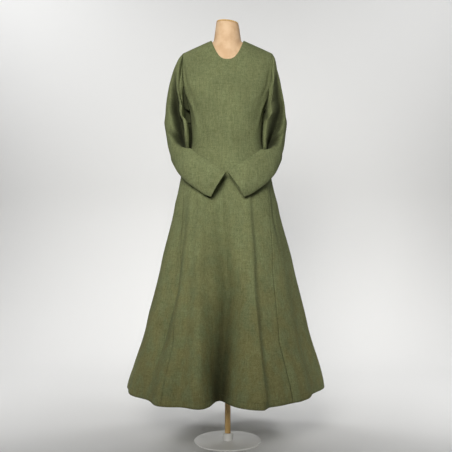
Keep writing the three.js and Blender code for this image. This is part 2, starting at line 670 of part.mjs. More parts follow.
addPiece("front_panel", clothWall(panelGrid(FRONT_COLUMNS, "frontLeft", "frontRight", FRONT_NECK_Z)), WOOL);
addPiece("back_panel", clothWall(panelGrid(BACK_COLUMNS, "backRight", "backLeft", BACK_NECK_Z)), WOOL);
addPiece("gore_right", clothWall(goreGrid("frontRight", "backRight")), WOOL);
addPiece("gore_left", clothWall(goreGrid("backLeft", "nextFrontLeft")), WOOL);
for (const [name, side] of [
  ["left", -1],
  ["right", 1],
]) {
  addPiece(`sleeve_${name}`, clothWall(sleeveGrid(side), true), WOOL);
  addPiece(`gusset_${name}`, clothWall(gussetGrid(side)), WOOL);
}
addPiece("form_body", formBody(), FORM_COVER);
addPiece("neck_plate", neckPlate(), BARE_WOOD);
addPiece("pole_flange", uprightRod(FLANGE.radius, FLANGE_LOW_Z, FLANGE_TOP_Z), PALE_METAL);
addPiece("pole", uprightRod(POLE_RADIUS, FOOT.high + GAP, FLANGE_LOW_Z - GAP), BARE_WOOD);
addPiece("pole_collar", poleCollar(), PALE_METAL);
addPiece("foot_plate", footPlate(), PALE_METAL);

export default part;
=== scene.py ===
"""A full-length olive wool dress on a limbless dress form, with its stand and the studio round it.

Sizes in the tables are millimetres and become metres where a mesh is placed. The front faces -Y, +Z is up.
Left is -X and right is +X, as the picture shows them.
"""

import logging
import math
from dataclasses import dataclass, field
from enum import Enum
from typing import Callable

import bmesh
import bpy
import numpy as np
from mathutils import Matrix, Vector


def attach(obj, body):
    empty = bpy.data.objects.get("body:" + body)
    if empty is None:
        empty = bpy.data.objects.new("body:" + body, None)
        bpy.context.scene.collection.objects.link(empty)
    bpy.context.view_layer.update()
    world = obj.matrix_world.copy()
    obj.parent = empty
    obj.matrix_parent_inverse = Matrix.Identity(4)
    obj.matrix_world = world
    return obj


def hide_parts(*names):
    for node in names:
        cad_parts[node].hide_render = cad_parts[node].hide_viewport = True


logging.basicConfig(level=logging.INFO, format="%(message)s")
log = logging.getLogger("dress")

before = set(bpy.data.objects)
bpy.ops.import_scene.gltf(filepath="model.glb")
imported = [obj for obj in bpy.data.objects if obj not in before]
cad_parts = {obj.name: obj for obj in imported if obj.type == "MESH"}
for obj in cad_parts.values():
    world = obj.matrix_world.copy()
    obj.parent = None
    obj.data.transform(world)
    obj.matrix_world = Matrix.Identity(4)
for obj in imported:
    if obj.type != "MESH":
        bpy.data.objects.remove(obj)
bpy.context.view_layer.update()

MM = 0.001
# Points nearer than this, in metres, are merged, and a length this small stands in for none.
WELD = 1e-6
TINY = 1e-9
# The cloth's thickness, and how far the edges of two panels are pulled back from their seam.
CLOTH = 1.7
SEAM_PULL = 0.05

# Heights and widths of the dress, as the solids have them.
NECK_SIDE_Z = 1680.0
SHOULDER_TIP_Z = 1627.0
FRONT_NECK_Z = 1586.0
BACK_NECK_Z = 1664.0
UNDERARM_Z = 1384.0
WAIST_Z = 1235.0
HIP_Z = 1121.0
HEM_Z = 223.0
NECK_HALF = 68.0
SHOULDER_HALF = 187.0
SHOULDER_SLOPE = (NECK_SIDE_Z - SHOULDER_TIP_Z) / (SHOULDER_HALF - NECK_HALF)
# The depth of the shoulder's round, the power of the neckline's curve and the degrees the hem is turned by.
SHOULDER_ROUND = 100.0
NECK_CURVE = 2.7
HEM_TURN = 7.6
# The slope of a spline at a row, as a share of the step between the rows beside it.
SPLINE_PULL = 0.4


@dataclass(frozen=True)
class Profile:
    """Values at heights that run from high to low, read at any height."""

    heights: tuple[float, ...]
    values: tuple[float, ...]

    def straight(self, z: np.ndarray) -> np.ndarray:
        """The straight-line value at each height z."""
        return np.interp(-z, [-h for h in self.heights], self.values)

    def eased(self, z: np.ndarray) -> np.ndarray:
        """The values on a soft spline through the rows.

        Args:
            z: heights in mm.

        Returns:
            The value at each height.
        """
        down = -np.asarray(self.heights)
        value = np.asarray(self.values)
        x = np.clip(-np.asarray(z, dtype=float), down[0], down[-1])
        i = np.clip(np.searchsorted(down, x, side="right") - 1, 0, len(down) - 2)
        return spline(value, i, (x - down[i]) / (down[i + 1] - down[i]))


def spline(rows: np.ndarray, i: np.ndarray, t: np.ndarray) -> np.ndarray:
    """A soft spline between rows i and i + 1.

    Args:
        rows: the values of all rows, one row of columns or one number each.
        i: the row before each wanted place.
        t: the share of the way to the next row.

    Returns:
        The splined values.
    """
    last = len(rows) - 1
    b, c = rows[i], rows[i + 1]
    a, d = rows[np.maximum(i - 1, 0)], rows[np.minimum(i + 2, last)]
    if rows.ndim > 1:
        t = t[..., None]
    pull_b, pull_c = (c - a) * SPLINE_PULL, (d - b) * SPLINE_PULL
    t2, t3 = t * t, t * t * t
    near = (2 * t3 - 3 * t2 + 1) * b + (t3 - 2 * t2 + t) * pull_b
    return near + (3 * t2 - 2 * t3) * c + (t3 - t2) * pull_c


@dataclass(frozen=True)
class Fold:
    """A skirt fold: its angle and height out of the surface at hip, middle and hem, and its half-widths."""

    name: str
    top: float
    middle: float
    hem: float
    high: tuple[float, float, float]
    left: float
    right: float

    HEIGHTS = (1190.0, 1040.0, 650.0, HEM_Z)

    def height(self, angle: np.ndarray, z: np.ndarray) -> np.ndarray:
        """How far the fold stands out of the surface.

        Args:
            angle: degrees from the centre front at each point.
            z: the height of each point in mm.

        Returns:
            Heights in mm, less than 0 where the fold dips.
        """
        centre = Profile(self.HEIGHTS, (self.top, self.top, self.middle, self.hem)).straight(z)
        high = Profile(self.HEIGHTS, (0.0, *self.high)).straight(z)
        away = angle - centre
        away = away - 360 * np.round(away / 360)
        reach = np.where(away < 0, self.left, self.right)
        return high * np.exp(-((away / reach) ** 2))


@dataclass(frozen=True)
class Crease:
    """A soft crease along a bent line, with its reach to each side in mm.

    Each place of the line is (degrees round, place down, mm out).
    """

    name: str
    line: tuple[tuple[float, float, float], ...]
    left: float
    right: float

    def height(self, turn: np.ndarray, down: np.ndarray, turn_mm: np.ndarray | float,
               down_mm: float = 1.0) -> np.ndarray:
        """How far the crease stands out at each point.

        Args:
            turn: degrees round at each point.
            down: the place down at each point, in the unit of the line's places.
            turn_mm: the length of one degree.
            down_mm: the length of one unit down.

        Returns:
            Heights in mm.
        """
        nearest = np.full(np.broadcast(turn, down).shape, np.inf)
        high, side = np.zeros(nearest.shape), np.zeros(nearest.shape)
        for (turn_a, down_a, high_a), (turn_b, down_b, high_b) in zip(self.line, self.line[1:]):
            x = ((turn - turn_a + 180) % 360 - 180) * turn_mm
            y = (down - down_a) * down_mm
            along_x, along_y = (turn_b - turn_a) * turn_mm, (down_b - down_a) * down_mm
            share = np.clip((x * along_x + y * along_y) / (along_x**2 + along_y**2), 0, 1)
            far = np.hypot(x - share * along_x, y - share * along_y)
            is_nearer = far < nearest
            nearest = np.where(is_nearer, far, nearest)
            high = np.where(is_nearer, high_a + (high_b - high_a) * share, high)
            side = np.where(is_nearer, x * along_y - y * along_x, side)
        reach = np.where(side > 0, self.right, self.left)
        return high * np.exp(-((nearest / reach) ** 2))


# Each fold's name, degrees at hip, middle and hem, mm out at the same heights, and reach to left and right.
SKIRT_FOLDS = (
    Fold("left side dip", -60, -52, -60, (-4, -24, -18), 11, 9),
    Fold("left ridge", -42, -38, -43, (4, 12, 32), 7, 14),
    Fold("left hip dip", -36, -31, -30, (-4, -7, -8), 6, 5),
    Fold("left front ridge", -30, -24, -19, (8, 22, 58), 8, 5),
    Fold("centre trough", -9, -2.5, -11, (-14, -62, -116), 10, 7),
    Fold("right front ridge", 24, 15, 10, (8, 20, 52), 9, 3.5),
    Fold("right ridge shoulder", 32, 23, 18, (0, 5, 18), 6, 9),
    Fold("right side dip", 72, 62, 60, (-9, -13, -34), 12, 17),
    Fold("right back ridge", 110, 112, 108, (0, 9, 26), 12, 9),
    Fold("right back dip", 130, 128, 126, (-3, -12, -34), 9, 7),
    Fold("back right ridge", 146, 145, 144, (5, 15, 36), 9, 7),
    Fold("back right trough", 158, 161, 160, (-5, -18, -48), 7, 8),
    Fold("back middle ridge", 172, 176, 179, (6, 17, 44), 9, 8),
    Fold("back left trough", -168, -166, -162, (-5, -19, -52), 8, 7),
    Fold("back left ridge", -152, -149, -146, (4, 14, 38), 8, 9),
    Fold("left back dip", -128, -129, -127, (-3, -11, -30), 8, 10),
    Fold("left back ridge", -108, -108, -106, (0, 8, 24), 10, 10),
)

# The places of these creases are (degrees from the centre front, height, mm out).
BODY_CREASES = (
    Crease("left armhole drag", ((-64, 1590, 0), (-60, 1520, -4), (-58, 1440, -2), (-54, 1380, 0)), 10, 10),
    Crease("left underarm fold", ((-76, 1480, 0), (-66, 1410, 6), (-58, 1330, 3), (-50, 1270, 0)), 12, 10),
    Crease("right armhole drag", ((64, 1590, 0), (60, 1520, -4), (58, 1440, -2), (54, 1380, 0)), 10, 10),
    Crease("right underarm fold", ((78, 1470, 0), (70, 1400, 5), (62, 1330, 3), (54, 1270, 0)), 10, 12),
    Crease("left chest fall", ((-36, 1600, 0), (-33, 1500, -3), (-30, 1360, 0)), 20, 24),
    Crease("right chest fall", ((34, 1600, 0), (32, 1490, -3), (30, 1350, 0)), 24, 20),
    Crease("left waist dip", ((-58, 1340, 0), (-40, 1280, -5), (-16, 1220, 0)), 20, 20),
    Crease("right waist dip", ((50, 1300, 0), (36, 1255, -3), (18, 1215, 0)), 20, 20),
    Crease("waist hollow", ((-24, 1190, 0), (-4, 1178, -7), (20, 1170, 0)), 40, 40),
    Crease("left hip step", ((-43, 1090, 0), (-40, 1000, 4), (-36.5, 840, 5), (-31, 640, 0)), 7, 24),
    Crease("left rim step", ((-49, 1000, 0), (-47, 850, -5), (-50, 600, -9), (-57, 400, -12), (-60, 280, 0)),
           18, 8),
    Crease("right ridge edge", ((21, 1060, 0), (18, 880, 5), (14.5, 520, 6), (12.5, 240, 5)), 20, 4),
    Crease("right hip trough", ((68, 1060, 0), (60, 940, -8), (54, 780, 0)), 16, 14),
    Crease("left skirt line", ((-33, 660, 0), (-33, 480, -6), (-33, 260, -5)), 12, 12),
    Crease("left ridge edge", ((-17.5, 560, 0), (-16.5, 380, 14), (-15.8, 223, 34)), 9, 36),
    Crease("left rim draw", ((-96, 540, 0), (-98, 400, -8), (-99, 300, -13), (-100, 228, -8)), 80, 80),
    Crease("right skirt swell", ((33, 560, 0), (34, 400, 7), (36, 240, 9)), 20, 20),
    Crease("back left shoulder", ((-138, 1600, 0), (-144, 1520, -5), (-152, 1430, 0)), 20, 20),
    Crease("back right shoulder", ((140, 1600, 0), (146, 1515, -5), (154, 1425, 0)), 22, 22),
    Crease("back waist fold left", ((-130, 1340, 0), (-144, 1270, -6), (-164, 1190, 0)), 18, 18),
    Crease("back waist fold right", ((128, 1340, 0), (144, 1265, -6), (164, 1180, 0)), 20, 20),
    Crease("back waist fold middle", ((172, 1310, 0), (175, 1220, -5), (178, 1100, 0)), 16, 16),
)


class BodySurface:
    """The outside of the dress body, as a function of the angle from the centre front and the height."""

    # The half-width, the middle's X and the depths to the front and back, at each height.
    HEIGHTS = (1710, 1627, 1583, 1540, 1488, 1434, 1384, 1322, 1250, 1190, 1121, 995, 744, 491, 223)
    WIDE = (205, 204.7, 203, 202, 195, 171, 154, 147.5, 146, 163, 188, 217, 277.5, 339, 415)
    MIDDLE = (-1, -1, -2, -3, -3, -3, -4, -4, -4, -5, -6, -4, -1, 0, -1)
    FRONT = (68, 76, 82, 95, 108, 115, 113, 106, 101, 108, 122, 150, 207, 265, 335)
    BACK = (72, 80, 92, 100, 104, 102, 96, 88, 86, 100, 122, 152, 212, 272, 345)

    # The degrees of a seam from the centre front or back, and its shift, at each height.
    SEAM_HEIGHTS = (1627, 1488, 1458, 1430, 1406, 1384, 1235, 1160, 995, 744, 454, 223)
    SEAM_ANGLE = (66, 66, 72, 79, 85, 90, 90, 70, 56, 43, 35, 36)
    SEAM_SHIFT = (0, 0, 0, 0, 0, 0, 0, -1, -3, -5, -5, -5)
    # The depth of a fold in mm at which its painted shade is full.
    DEEPEST = 125.0
    # How far in mm a pressed seam's look is moved off its edge, and how strongly it still shows.
    PRESSED = 1.6
    PRESSED_SHOWS = 0.2
    # The height where the right front seam begins to show, and the length over which it comes in.
    SEAM_SHOWS_Z = 620.0
    SEAM_COMES_IN = 120.0

    def __init__(self) -> None:
        """Reads the section tables."""
        self.wide = Profile(self.HEIGHTS, self.WIDE)
        self.middle = Profile(self.HEIGHTS, self.MIDDLE)
        self.front = Profile(self.HEIGHTS, self.FRONT)
        self.back = Profile(self.HEIGHTS, self.BACK)
        self.seam_angle = Profile(self.SEAM_HEIGHTS, self.SEAM_ANGLE)
        self.seam_shift = Profile(self.SEAM_HEIGHTS, self.SEAM_SHIFT)

    def seam(self, name: str, z: np.ndarray) -> np.ndarray:
        """The course of a seam.

        Args:
            name: the panel and side that the seam edges; next_front_left is front_left one turn further on.
            z: heights in mm.

        Returns:
            Its degrees from the centre front at each height.
        """
        angle, shift = self.seam_angle.straight(z), self.seam_shift.straight(z)
        turns = {
            "front_left": -angle,
            "front_right": angle,
            "back_right": 180 - angle,
            "back_left": 180 + angle,
            "next_front_left": 360 - angle,
        }
        return turns[name] + shift

    def high(self, angle: np.ndarray, z: np.ndarray) -> np.ndarray:
        """How far the folds and creases stand out.

        Args:
            angle: degrees from the centre front at each point.
            z: the height of each point in mm.

        Returns:
            Heights over the plain surface in mm.
        """
        round_mm = (self.wide.eased(z) + (self.front.eased(z) + self.back.eased(z)) / 2) / 2 * math.pi / 180
        high = sum(fold.height(angle, z) for fold in SKIRT_FOLDS)
        return high + sum(crease.height(angle, z, round_mm) for crease in BODY_CREASES)

    def pressed(self, angle: np.ndarray, z: np.ndarray) -> np.ndarray:
        """How far a seam is pressed out of sight: all of them but the right front one, low down.

        Args:
            angle: degrees from the centre front at each point.
            z: the height of each point in mm.

        Returns:
            How far the seam's look is moved off its edge, in mm.
        """
        is_front_right = (angle > 0) & (angle < 90)
        coming_in = np.clip((self.SEAM_SHOWS_Z - z) / self.SEAM_COMES_IN, 0, 1)
        return self.PRESSED * (1 - np.where(is_front_right, coming_in, self.PRESSED_SHOWS))

    def depth(self, angle: np.ndarray, z: np.ndarray) -> np.ndarray:
        """How deep each point lies in a fold, from 0 to 1: the mask of the painted shade that darkens the wool
        there.
        """
        return np.clip(-self.high(angle, z) / self.DEEPEST, 0, 1)

    def point(self, angle: np.ndarray, z: np.ndarray) -> np.ndarray:
        """Points of the surface in mm, folds and creases included.

        Args:
            angle: degrees from the centre front, positive to +X.
            z: heights in mm.

        Returns:
            An array with a last axis of x, y and z.
        """
        turn = np.radians(angle)
        wide = self.wide.eased(z)
        deep = np.where(np.cos(turn) > 0, self.front.eased(z), self.back.eased(z))
        x, y = wide * np.sin(turn), -deep * np.cos(turn)
        out_x, out_y = x / wide**2, y / deep**2
        size = np.hypot(out_x, out_y)
        y = y * round_over(x, z)
        high = self.high(angle, z)
        x, y = x + out_x / size * high, y + out_y / size * high
        spin = np.radians(HEM_TURN * np.clip((HIP_Z - z) / (HIP_Z - HEM_Z), 0, 1))
        spun_x = x * np.cos(spin) - y * np.sin(spin) + self.middle.eased(z)
        spun_y = x * np.sin(spin) + y * np.cos(spin)
        return np.stack([spun_x, spun_y, np.broadcast_to(z, spun_x.shape)], axis=-1)


def shoulder_line(x: np.ndarray) -> np.ndarray:
    """The height of the shoulder line above points at x from the middle."""
    return NECK_SIDE_Z - (np.abs(x) - NECK_HALF) * SHOULDER_SLOPE


def round_over(x: np.ndarray, z: np.ndarray) -> np.ndarray:
    """0 on the shoulder line, 1 a hand's width below it."""
    drop = np.clip((shoulder_line(x) - z) / SHOULDER_ROUND, 0, 1)
    return np.sqrt(1 - (1 - drop) ** 2)


class Edge(Enum):
    """The edges of a grid of cloth."""

    TOP = "top"
    HEM = "hem"
    LEFT = "left"
    RIGHT = "right"


def joined(ring: np.ndarray) -> np.ndarray:
    """A ring with its first point again at its end."""
    return np.concatenate([ring, ring[:1]])


def placed_grid(points: np.ndarray) -> tuple[bmesh.types.BMesh, np.ndarray, np.ndarray]:
    """Makes a grid and moves its points to their places.

    Args:
        points: the places in mm, rows by columns by three.

    Returns:
        The bmesh, and the row and the column of each of its points.
    """
    rows, columns = points.shape[:2]
    bm = bmesh.new()
    bmesh.ops.create_grid(bm, x_segments=columns - 1, y_segments=rows - 1, size=1.0)
    bm.verts.ensure_lookup_table()
    column = np.rint([(v.co.x + 1) / 2 * (columns - 1) for v in bm.verts]).astype(int)
    row = np.rint([(1 - v.co.y) / 2 * (rows - 1) for v in bm.verts]).astype(int)
    for vert, r, c in zip(bm.verts, row, column):
        vert.co = Vector(points[r, c] * MM)
    for face in bm.faces:
        face.smooth = True
    return bm, row, column


def close_solid(bm: bmesh.types.BMesh) -> None:
    """Joins the meeting edges of a bmesh, fills its open ends flat and turns its faces outwards."""
    bmesh.ops.remove_doubles(bm, verts=bm.verts, dist=WELD)
    ends = bmesh.ops.holes_fill(bm, edges=[edge for edge in bm.edges if edge.is_boundary], sides=0)["faces"]
    for face in ends:
        face.smooth = False
    bmesh.ops.recalc_face_normals(bm, faces=bm.faces)


@dataclass
class ClothGrid:
    """A piece of cloth as a grid of outside points in mm, rows from its top to its hem.

    Its sewn edges are seams and its turned ones are hems. Each point has a depth in a fold from 0 to 1, which
    darkens the wool there as painted shade, and the mm by which the seam beside it is pressed out of sight.
    """

    name: str
    points: np.ndarray
    is_ring: bool = False
    sewn: tuple[Edge, ...] = ()
    turned: tuple[Edge, ...] = ()
    deep: np.ndarray | None = None
    pressed: np.ndarray | float = 0.0
    # A distance in mm that is past every seam, for a piece with no such edge.
    FAR = 1000.0

    def lengths(self) -> tuple[np.ndarray, np.ndarray]:
        """The place of each grid point in the cloth.

        Returns:
            The distances across from the left edge and down from the top edge, in mm.
        """
        across = np.linalg.norm(np.diff(self.points, axis=1), axis=2)
        down = np.linalg.norm(np.diff(self.points, axis=0), axis=2)
        left = np.concatenate([np.zeros((len(across), 1)), np.cumsum(across, axis=1)], axis=1)
        top = np.concatenate([np.zeros((1, down.shape[1])), np.cumsum(down, axis=0)], axis=0)
        return left, top

    def edge_distance(self, edges: tuple[Edge, ...]) -> np.ndarray:
        """The distance of each grid point from the nearest of some edges.

        Args:
            edges: the edges.

        Returns:
            Distances in mm, a metre everywhere if there are no edges.
        """
        left, top = self.lengths()
        far = {
            Edge.LEFT: left,
            Edge.RIGHT: left[:, -1:] - left,
            Edge.TOP: top,
            Edge.HEM: top[-1:, :] - top,
        }
        chosen = [far[edge] for edge in edges]
        return np.minimum.reduce(chosen) if chosen else np.full(left.shape, self.FAR)

    def normals(self) -> np.ndarray:
        """The outward direction at each grid point.

        Returns:
            Directions of length 1.
        """
        across = np.gradient(self.points, axis=1)
        if self.is_ring:
            across[:, 0] = across[:, -1] = self.points[:, 1] - self.points[:, -2]
        down = np.gradient(self.points, axis=0)
        out = np.cross(down, across)
        out /= np.linalg.norm(out, axis=2, keepdims=True) + TINY
        return out if self.faces_out(out) else -out

    def faces_out(self, out: np.ndarray) -> bool:
        """Whether directions point outwards.

        Args:
            out: a direction at each grid point.

        Returns:
            Whether they point down on a gusset, away from a sleeve's own axis, or away from the body's.
        """
        if self.name.startswith("gusset"):
            return bool(out[..., 2].mean() < 0)
        if self.is_ring:
            away = self.points - self.points.mean(axis=1, keepdims=True)
        else:
            away = self.points * np.array([1.0, 1.0, 0.0])
        return bool((out * away).sum() > 0)

    def mark(self, bm: bmesh.types.BMesh, row: np.ndarray, column: np.ndarray) -> None:
        """Writes the flat map and the seam, hem and fold values that the wool reads.

        Args:
            bm: the grid's bmesh.
            row: the row of each of its points.
            column: the column of each of its points.
        """
        left, top = self.lengths()
        values = {
            "sewn_mm": self.edge_distance(self.sewn) + self.pressed,
            "turned_mm": self.edge_distance(self.turned),
            "deep": np.zeros(left.shape) if self.deep is None else self.deep,
        }
        for name, value in values.items():
            layer = bm.verts.layers.float.new(name)
            for vert, r, c in zip(bm.verts, row, column):
                vert[layer] = value[r, c]
        flat = bm.loops.layers.uv.new("cloth")
        middle = left[:, -1:] / 2
        for face in bm.faces:
            for loop in face.loops:
                r, c = row[loop.vert.index], column[loop.vert.index]
                loop[flat].uv = ((left[r, c] - middle[r, 0]) * MM, -top[r, c] * MM)

    def build(self, thickness: float, finish: bpy.types.Material) -> bpy.types.Object:
        """Makes the shell as a mesh object.

        Args:
            thickness: the cloth's thickness in mm, added inwards.
            finish: its material.

        Returns:
            The object, linked to the scene.
        """
        bm, row, column = placed_grid(self.points)
        self.mark(bm, row, column)
        bm.faces.ensure_lookup_table()
        sample = bm.faces[len(bm.faces) // 2]
        corner = sample.verts[0].index
        wanted = Vector(self.normals()[row[corner], column[corner]])
        if self.is_ring:
            bmesh.ops.remove_doubles(bm, verts=bm.verts, dist=WELD)
        bmesh.ops.recalc_face_normals(bm, faces=bm.faces)
        if sample.normal.dot(wanted) < 0:
            bmesh.ops.reverse_faces(bm, faces=bm.faces)
        obj = new_object(self.name + "_cloth", bm, finish)
        wall = obj.modifiers.new("cloth thickness", "SOLIDIFY")
        wall.thickness = thickness * MM
        wall.offset = -1.0
        wall.use_even_offset = False
        log.info("%s: %d by %d points", obj.name, *self.points.shape[:2])
        return obj


def new_object(name: str, bm: bmesh.types.BMesh, finish: bpy.types.Material) -> bpy.types.Object:
    """Makes an object at the origin from a bmesh, and frees the bmesh.

    Args:
        name: the object's name.
        bm: its mesh.
        finish: its one material.

    Returns:
        The object, linked to the scene.
    """
    mesh = bpy.data.meshes.new(name)
    bm.to_mesh(mesh)
    bm.free()
    mesh.materials.append(finish)
    obj = bpy.data.objects.new(name, mesh)
    bpy.context.scene.collection.objects.link(obj)
    return obj


def eased_steps(count: int, crowd: float) -> np.ndarray:
    """Shares from 0 to 1 that lie closer together in the middle by the amount crowd."""
    t = np.linspace(-1, 1, count)
    return ((t * (1 - crowd) + t**3 * crowd) + 1) / 2


@dataclass
class DressBody:
    """Front and back panels and side gores."""

    surface: BodySurface = field(default_factory=BodySurface)
    front_columns: int = 151
    back_columns: int = 121
    gore_columns: int = 73
    upper_rows: int = 64
    waist_rows: int = 24
    skirt_rows: int = 96
    # How much closer the columns are at a panel's middle, and the power that crowds the rows at the shoulder.
    crowding: float = 0.3
    row_crowding: float = 1.6
    # How far a gore's point lies below the waist.
    gore_drop: float = 9.0

    def heights(self) -> np.ndarray:
        """The heights of the rows at a panel's side edge, closer together over the shoulder.

        Returns:
            Heights in mm, from high to low.
        """
        share = np.linspace(0, 1, self.upper_rows) ** self.row_crowding
        upper = SHOULDER_TIP_Z - (SHOULDER_TIP_Z - UNDERARM_Z) * share
        waist = np.linspace(UNDERARM_Z, WAIST_Z, self.waist_rows)[1:]
        skirt = np.linspace(WAIST_Z, HEM_Z, self.skirt_rows)[1:]
        return np.concatenate([upper, waist, skirt])

    def pull(self, z: np.ndarray) -> np.ndarray:
        """The angle of half a seam's gap at each height."""
        return np.degrees(SEAM_PULL / self.surface.front.eased(z))

    def piece(self, name: str, seams: tuple[str, str], edge_z: np.ndarray, share: np.ndarray,
              z: np.ndarray) -> ClothGrid:
        """A piece of cloth between two seams.

        Args:
            name: its name.
            seams: its left and right seam.
            edge_z: the height of each row at its side edges, a column.
            share: the share of the way from the left seam to the right one, a row.
            z: the height of each point.

        Returns:
            The piece's grid.
        """
        left, right = (self.surface.seam(seam, edge_z) for seam in seams)
        angle = (left + self.pull(edge_z)) * (1 - share) + (right - self.pull(edge_z)) * share
        pressed = np.where(z < UNDERARM_Z, self.surface.pressed(angle, z), 0.0)
        return ClothGrid(name, self.surface.point(angle, z), sewn=(Edge.LEFT, Edge.RIGHT),
                         turned=(Edge.HEM,), deep=self.surface.depth(angle, z), pressed=pressed)

    def panel(self, name: str, columns: int, left: str, right: str, neck_low: float) -> ClothGrid:
        """The front or back panel, from its shoulders and neckline to the hem.

        Args:
            name: its name.
            columns: how many points it has across.
            left: its left seam.
            right: its right seam.
            neck_low: the height of its neckline at the middle.

        Returns:
            The panel's grid.
        """
        edge_z = self.heights()[:, None]
        share = eased_steps(columns, self.crowding)[None, :]
        tip = np.array(SHOULDER_TIP_Z)
        top_angle = self.surface.seam(left, tip) * (1 - share) + self.surface.seam(right, tip) * share
        top_x = self.surface.wide.eased(tip) * np.sin(np.radians(top_angle))
        neck = neck_low + (NECK_SIDE_Z - neck_low) * (np.abs(top_x) / NECK_HALF) ** NECK_CURVE
        top = np.where(np.abs(top_x) >= NECK_HALF, shoulder_line(top_x), neck)
        fall = (SHOULDER_TIP_Z - edge_z) / (SHOULDER_TIP_Z - UNDERARM_Z)
        z = np.where(edge_z > UNDERARM_Z, top - (top - UNDERARM_Z) * fall, edge_z)
        return self.piece(name, (left, right), edge_z, share, z)

    def gore(self, name: str, left: str, right: str) -> ClothGrid:
        """A side gore, from its point at the waist to the hem.

        Args:
            name: its name.
            left: its left seam.
            right: its right seam.

        Returns:
            The gore's grid.
        """
        edge_z = np.linspace(WAIST_Z - self.gore_drop, HEM_Z, self.skirt_rows)[:, None]
        share = np.linspace(0, 1, self.gore_columns)[None, :]
        z = np.broadcast_to(edge_z, (self.skirt_rows, self.gore_columns))
        return self.piece(name, (left, right), edge_z, share, z)

    def grids(self) -> list[ClothGrid]:
        """The four pieces of the body."""
        return [
            self.panel("front_panel", self.front_columns, "front_left", "front_right", FRONT_NECK_Z),
            self.panel("back_panel", self.back_columns, "back_right", "back_left", BACK_NECK_Z),
            self.gore("gore_right", "front_right", "back_right"),
            self.gore("gore_left", "back_left", "next_front_left"),
        ]


class Side(Enum):
    """The two sides of the dress, by the sign of X."""

    LEFT = -1
    RIGHT = 1

    @property
    def word(self) -> str:
        """The side's name in lower case."""
        return self.name.lower()


# The places of a sleeve's creases are (degrees round it, station down it, mm out). The deep valley runs down
# each upper arm into the elbow and is pushed straight back into the sleeve.
SLEEVE_VALLEYS = {
    Side.LEFT: Crease(
        "left arm valley",
        ((38, 1.5, 0), (26, 2.6, 36), (18, 3.4, 54), (14, 4.1, 66), (5, 5.0, 80), (12, 5.9, 82), (18, 6.8, 88),
         (26, 7.6, 84), (34, 8.5, 14)),
        9, 30,
    ),
    Side.RIGHT: Crease(
        "right arm valley",
        ((50, 1.6, 0), (44, 2.6, 30), (44, 3.6, 42), (44, 4.6, 50), (44, 5.4, 56), (44, 6.2, 62), (44, 7.0, 66),
         (46, 7.8, 60), (48, 8.6, 12)),
        32, 24,
    ),
}

SLEEVE_CREASES = {
    Side.LEFT: (
        Crease("elbow fold", ((-34, 10.4, 0), (-10, 10.2, -24), (19, 9.7, -34), (44, 8.3, -36),
                              (67, 7.6, -24), (84, 7.2, -7), (96, 7.0, 0)), 3, 46),
        Crease("forearm edge", ((-20, 10.7, 0), (19, 9.85, 7), (44, 8.4, 7), (67, 7.7, 4), (84, 7.3, 0)),
               24, 4),
        Crease("upper arm ridge", ((22, 1.0, 0), (10, 1.8, 5), (-6, 2.4, 6), (-14, 4.0, 7), (-20, 5.0, 7),
                                   (-16, 5.8, 6), (-10, 7.2, 0)), 9, 9),
        Crease("armhole pocket", ((52, 0.05, 0), (34, 0.15, -20), (14, 0.7, -20), (0, 1.3, -6), (-8, 1.8, 0)),
               9, 14),
        Crease("underarm slit", ((-30, 1.2, 0), (-34, 2.2, -9), (-38, 3.4, 0)), 8, 8),
        Crease("back of arm fold", ((162, 2.0, 0), (156, 4.4, -12), (148, 7.0, 0)), 14, 14),
        Crease("elbow back fold", ((172, 7.2, 0), (150, 8.4, -9), (126, 9.4, 0)), 10, 10),
        Crease("forearm slack", ((56, 10.4, 0), (74, 11.4, -4), (96, 12.8, 0)), 14, 14),
        Crease("cuff swell", ((132, 12.2, 0), (112, 13.2, 3), (96, 14.0, 3)), 18, 18),
    ),
    Side.RIGHT: (
        Crease("elbow fold", ((-34, 10.5, 0), (-10, 10.3, -24), (25, 9.9, -34), (50, 8.4, -36),
                              (70, 7.7, -24), (86, 7.2, -7), (98, 7.0, 0)), 3, 46),
        Crease("forearm edge", ((-20, 10.8, 0), (25, 10.05, 7), (50, 8.5, 7), (70, 7.8, 4), (86, 7.3, 0)),
               24, 4),
        Crease("upper arm ridge", ((34, 1.4, 0), (18, 1.9, 5), (4, 2.7, 6), (-4, 4.2, 6), (-5, 5.8, 6),
                                   (-3, 7.2, 0)), 9, 9),
        Crease("armhole pocket", ((54, 0.1, 0), (36, 0.5, -22), (14, 1.1, -20), (-4, 1.7, -8),
                                  (-20, 3.4, -4), (-26, 4.2, 0)), 8, 14),
        Crease("back of arm fold", ((150, 2.0, 0), (156, 4.6, -12), (162, 7.0, 0)), 14, 14),
        Crease("elbow back fold", ((174, 7.4, 0), (150, 8.3, -9), (124, 9.2, 0)), 10, 10),
        Crease("forearm slack", ((84, 10.0, 0), (70, 11.2, -3), (56, 12.6, 0)), 14, 14),
        Crease("cuff swell", ((122, 12.0, 0), (114, 13.0, 3), (104, 14.0, 3)), 18, 18),
    ),
}


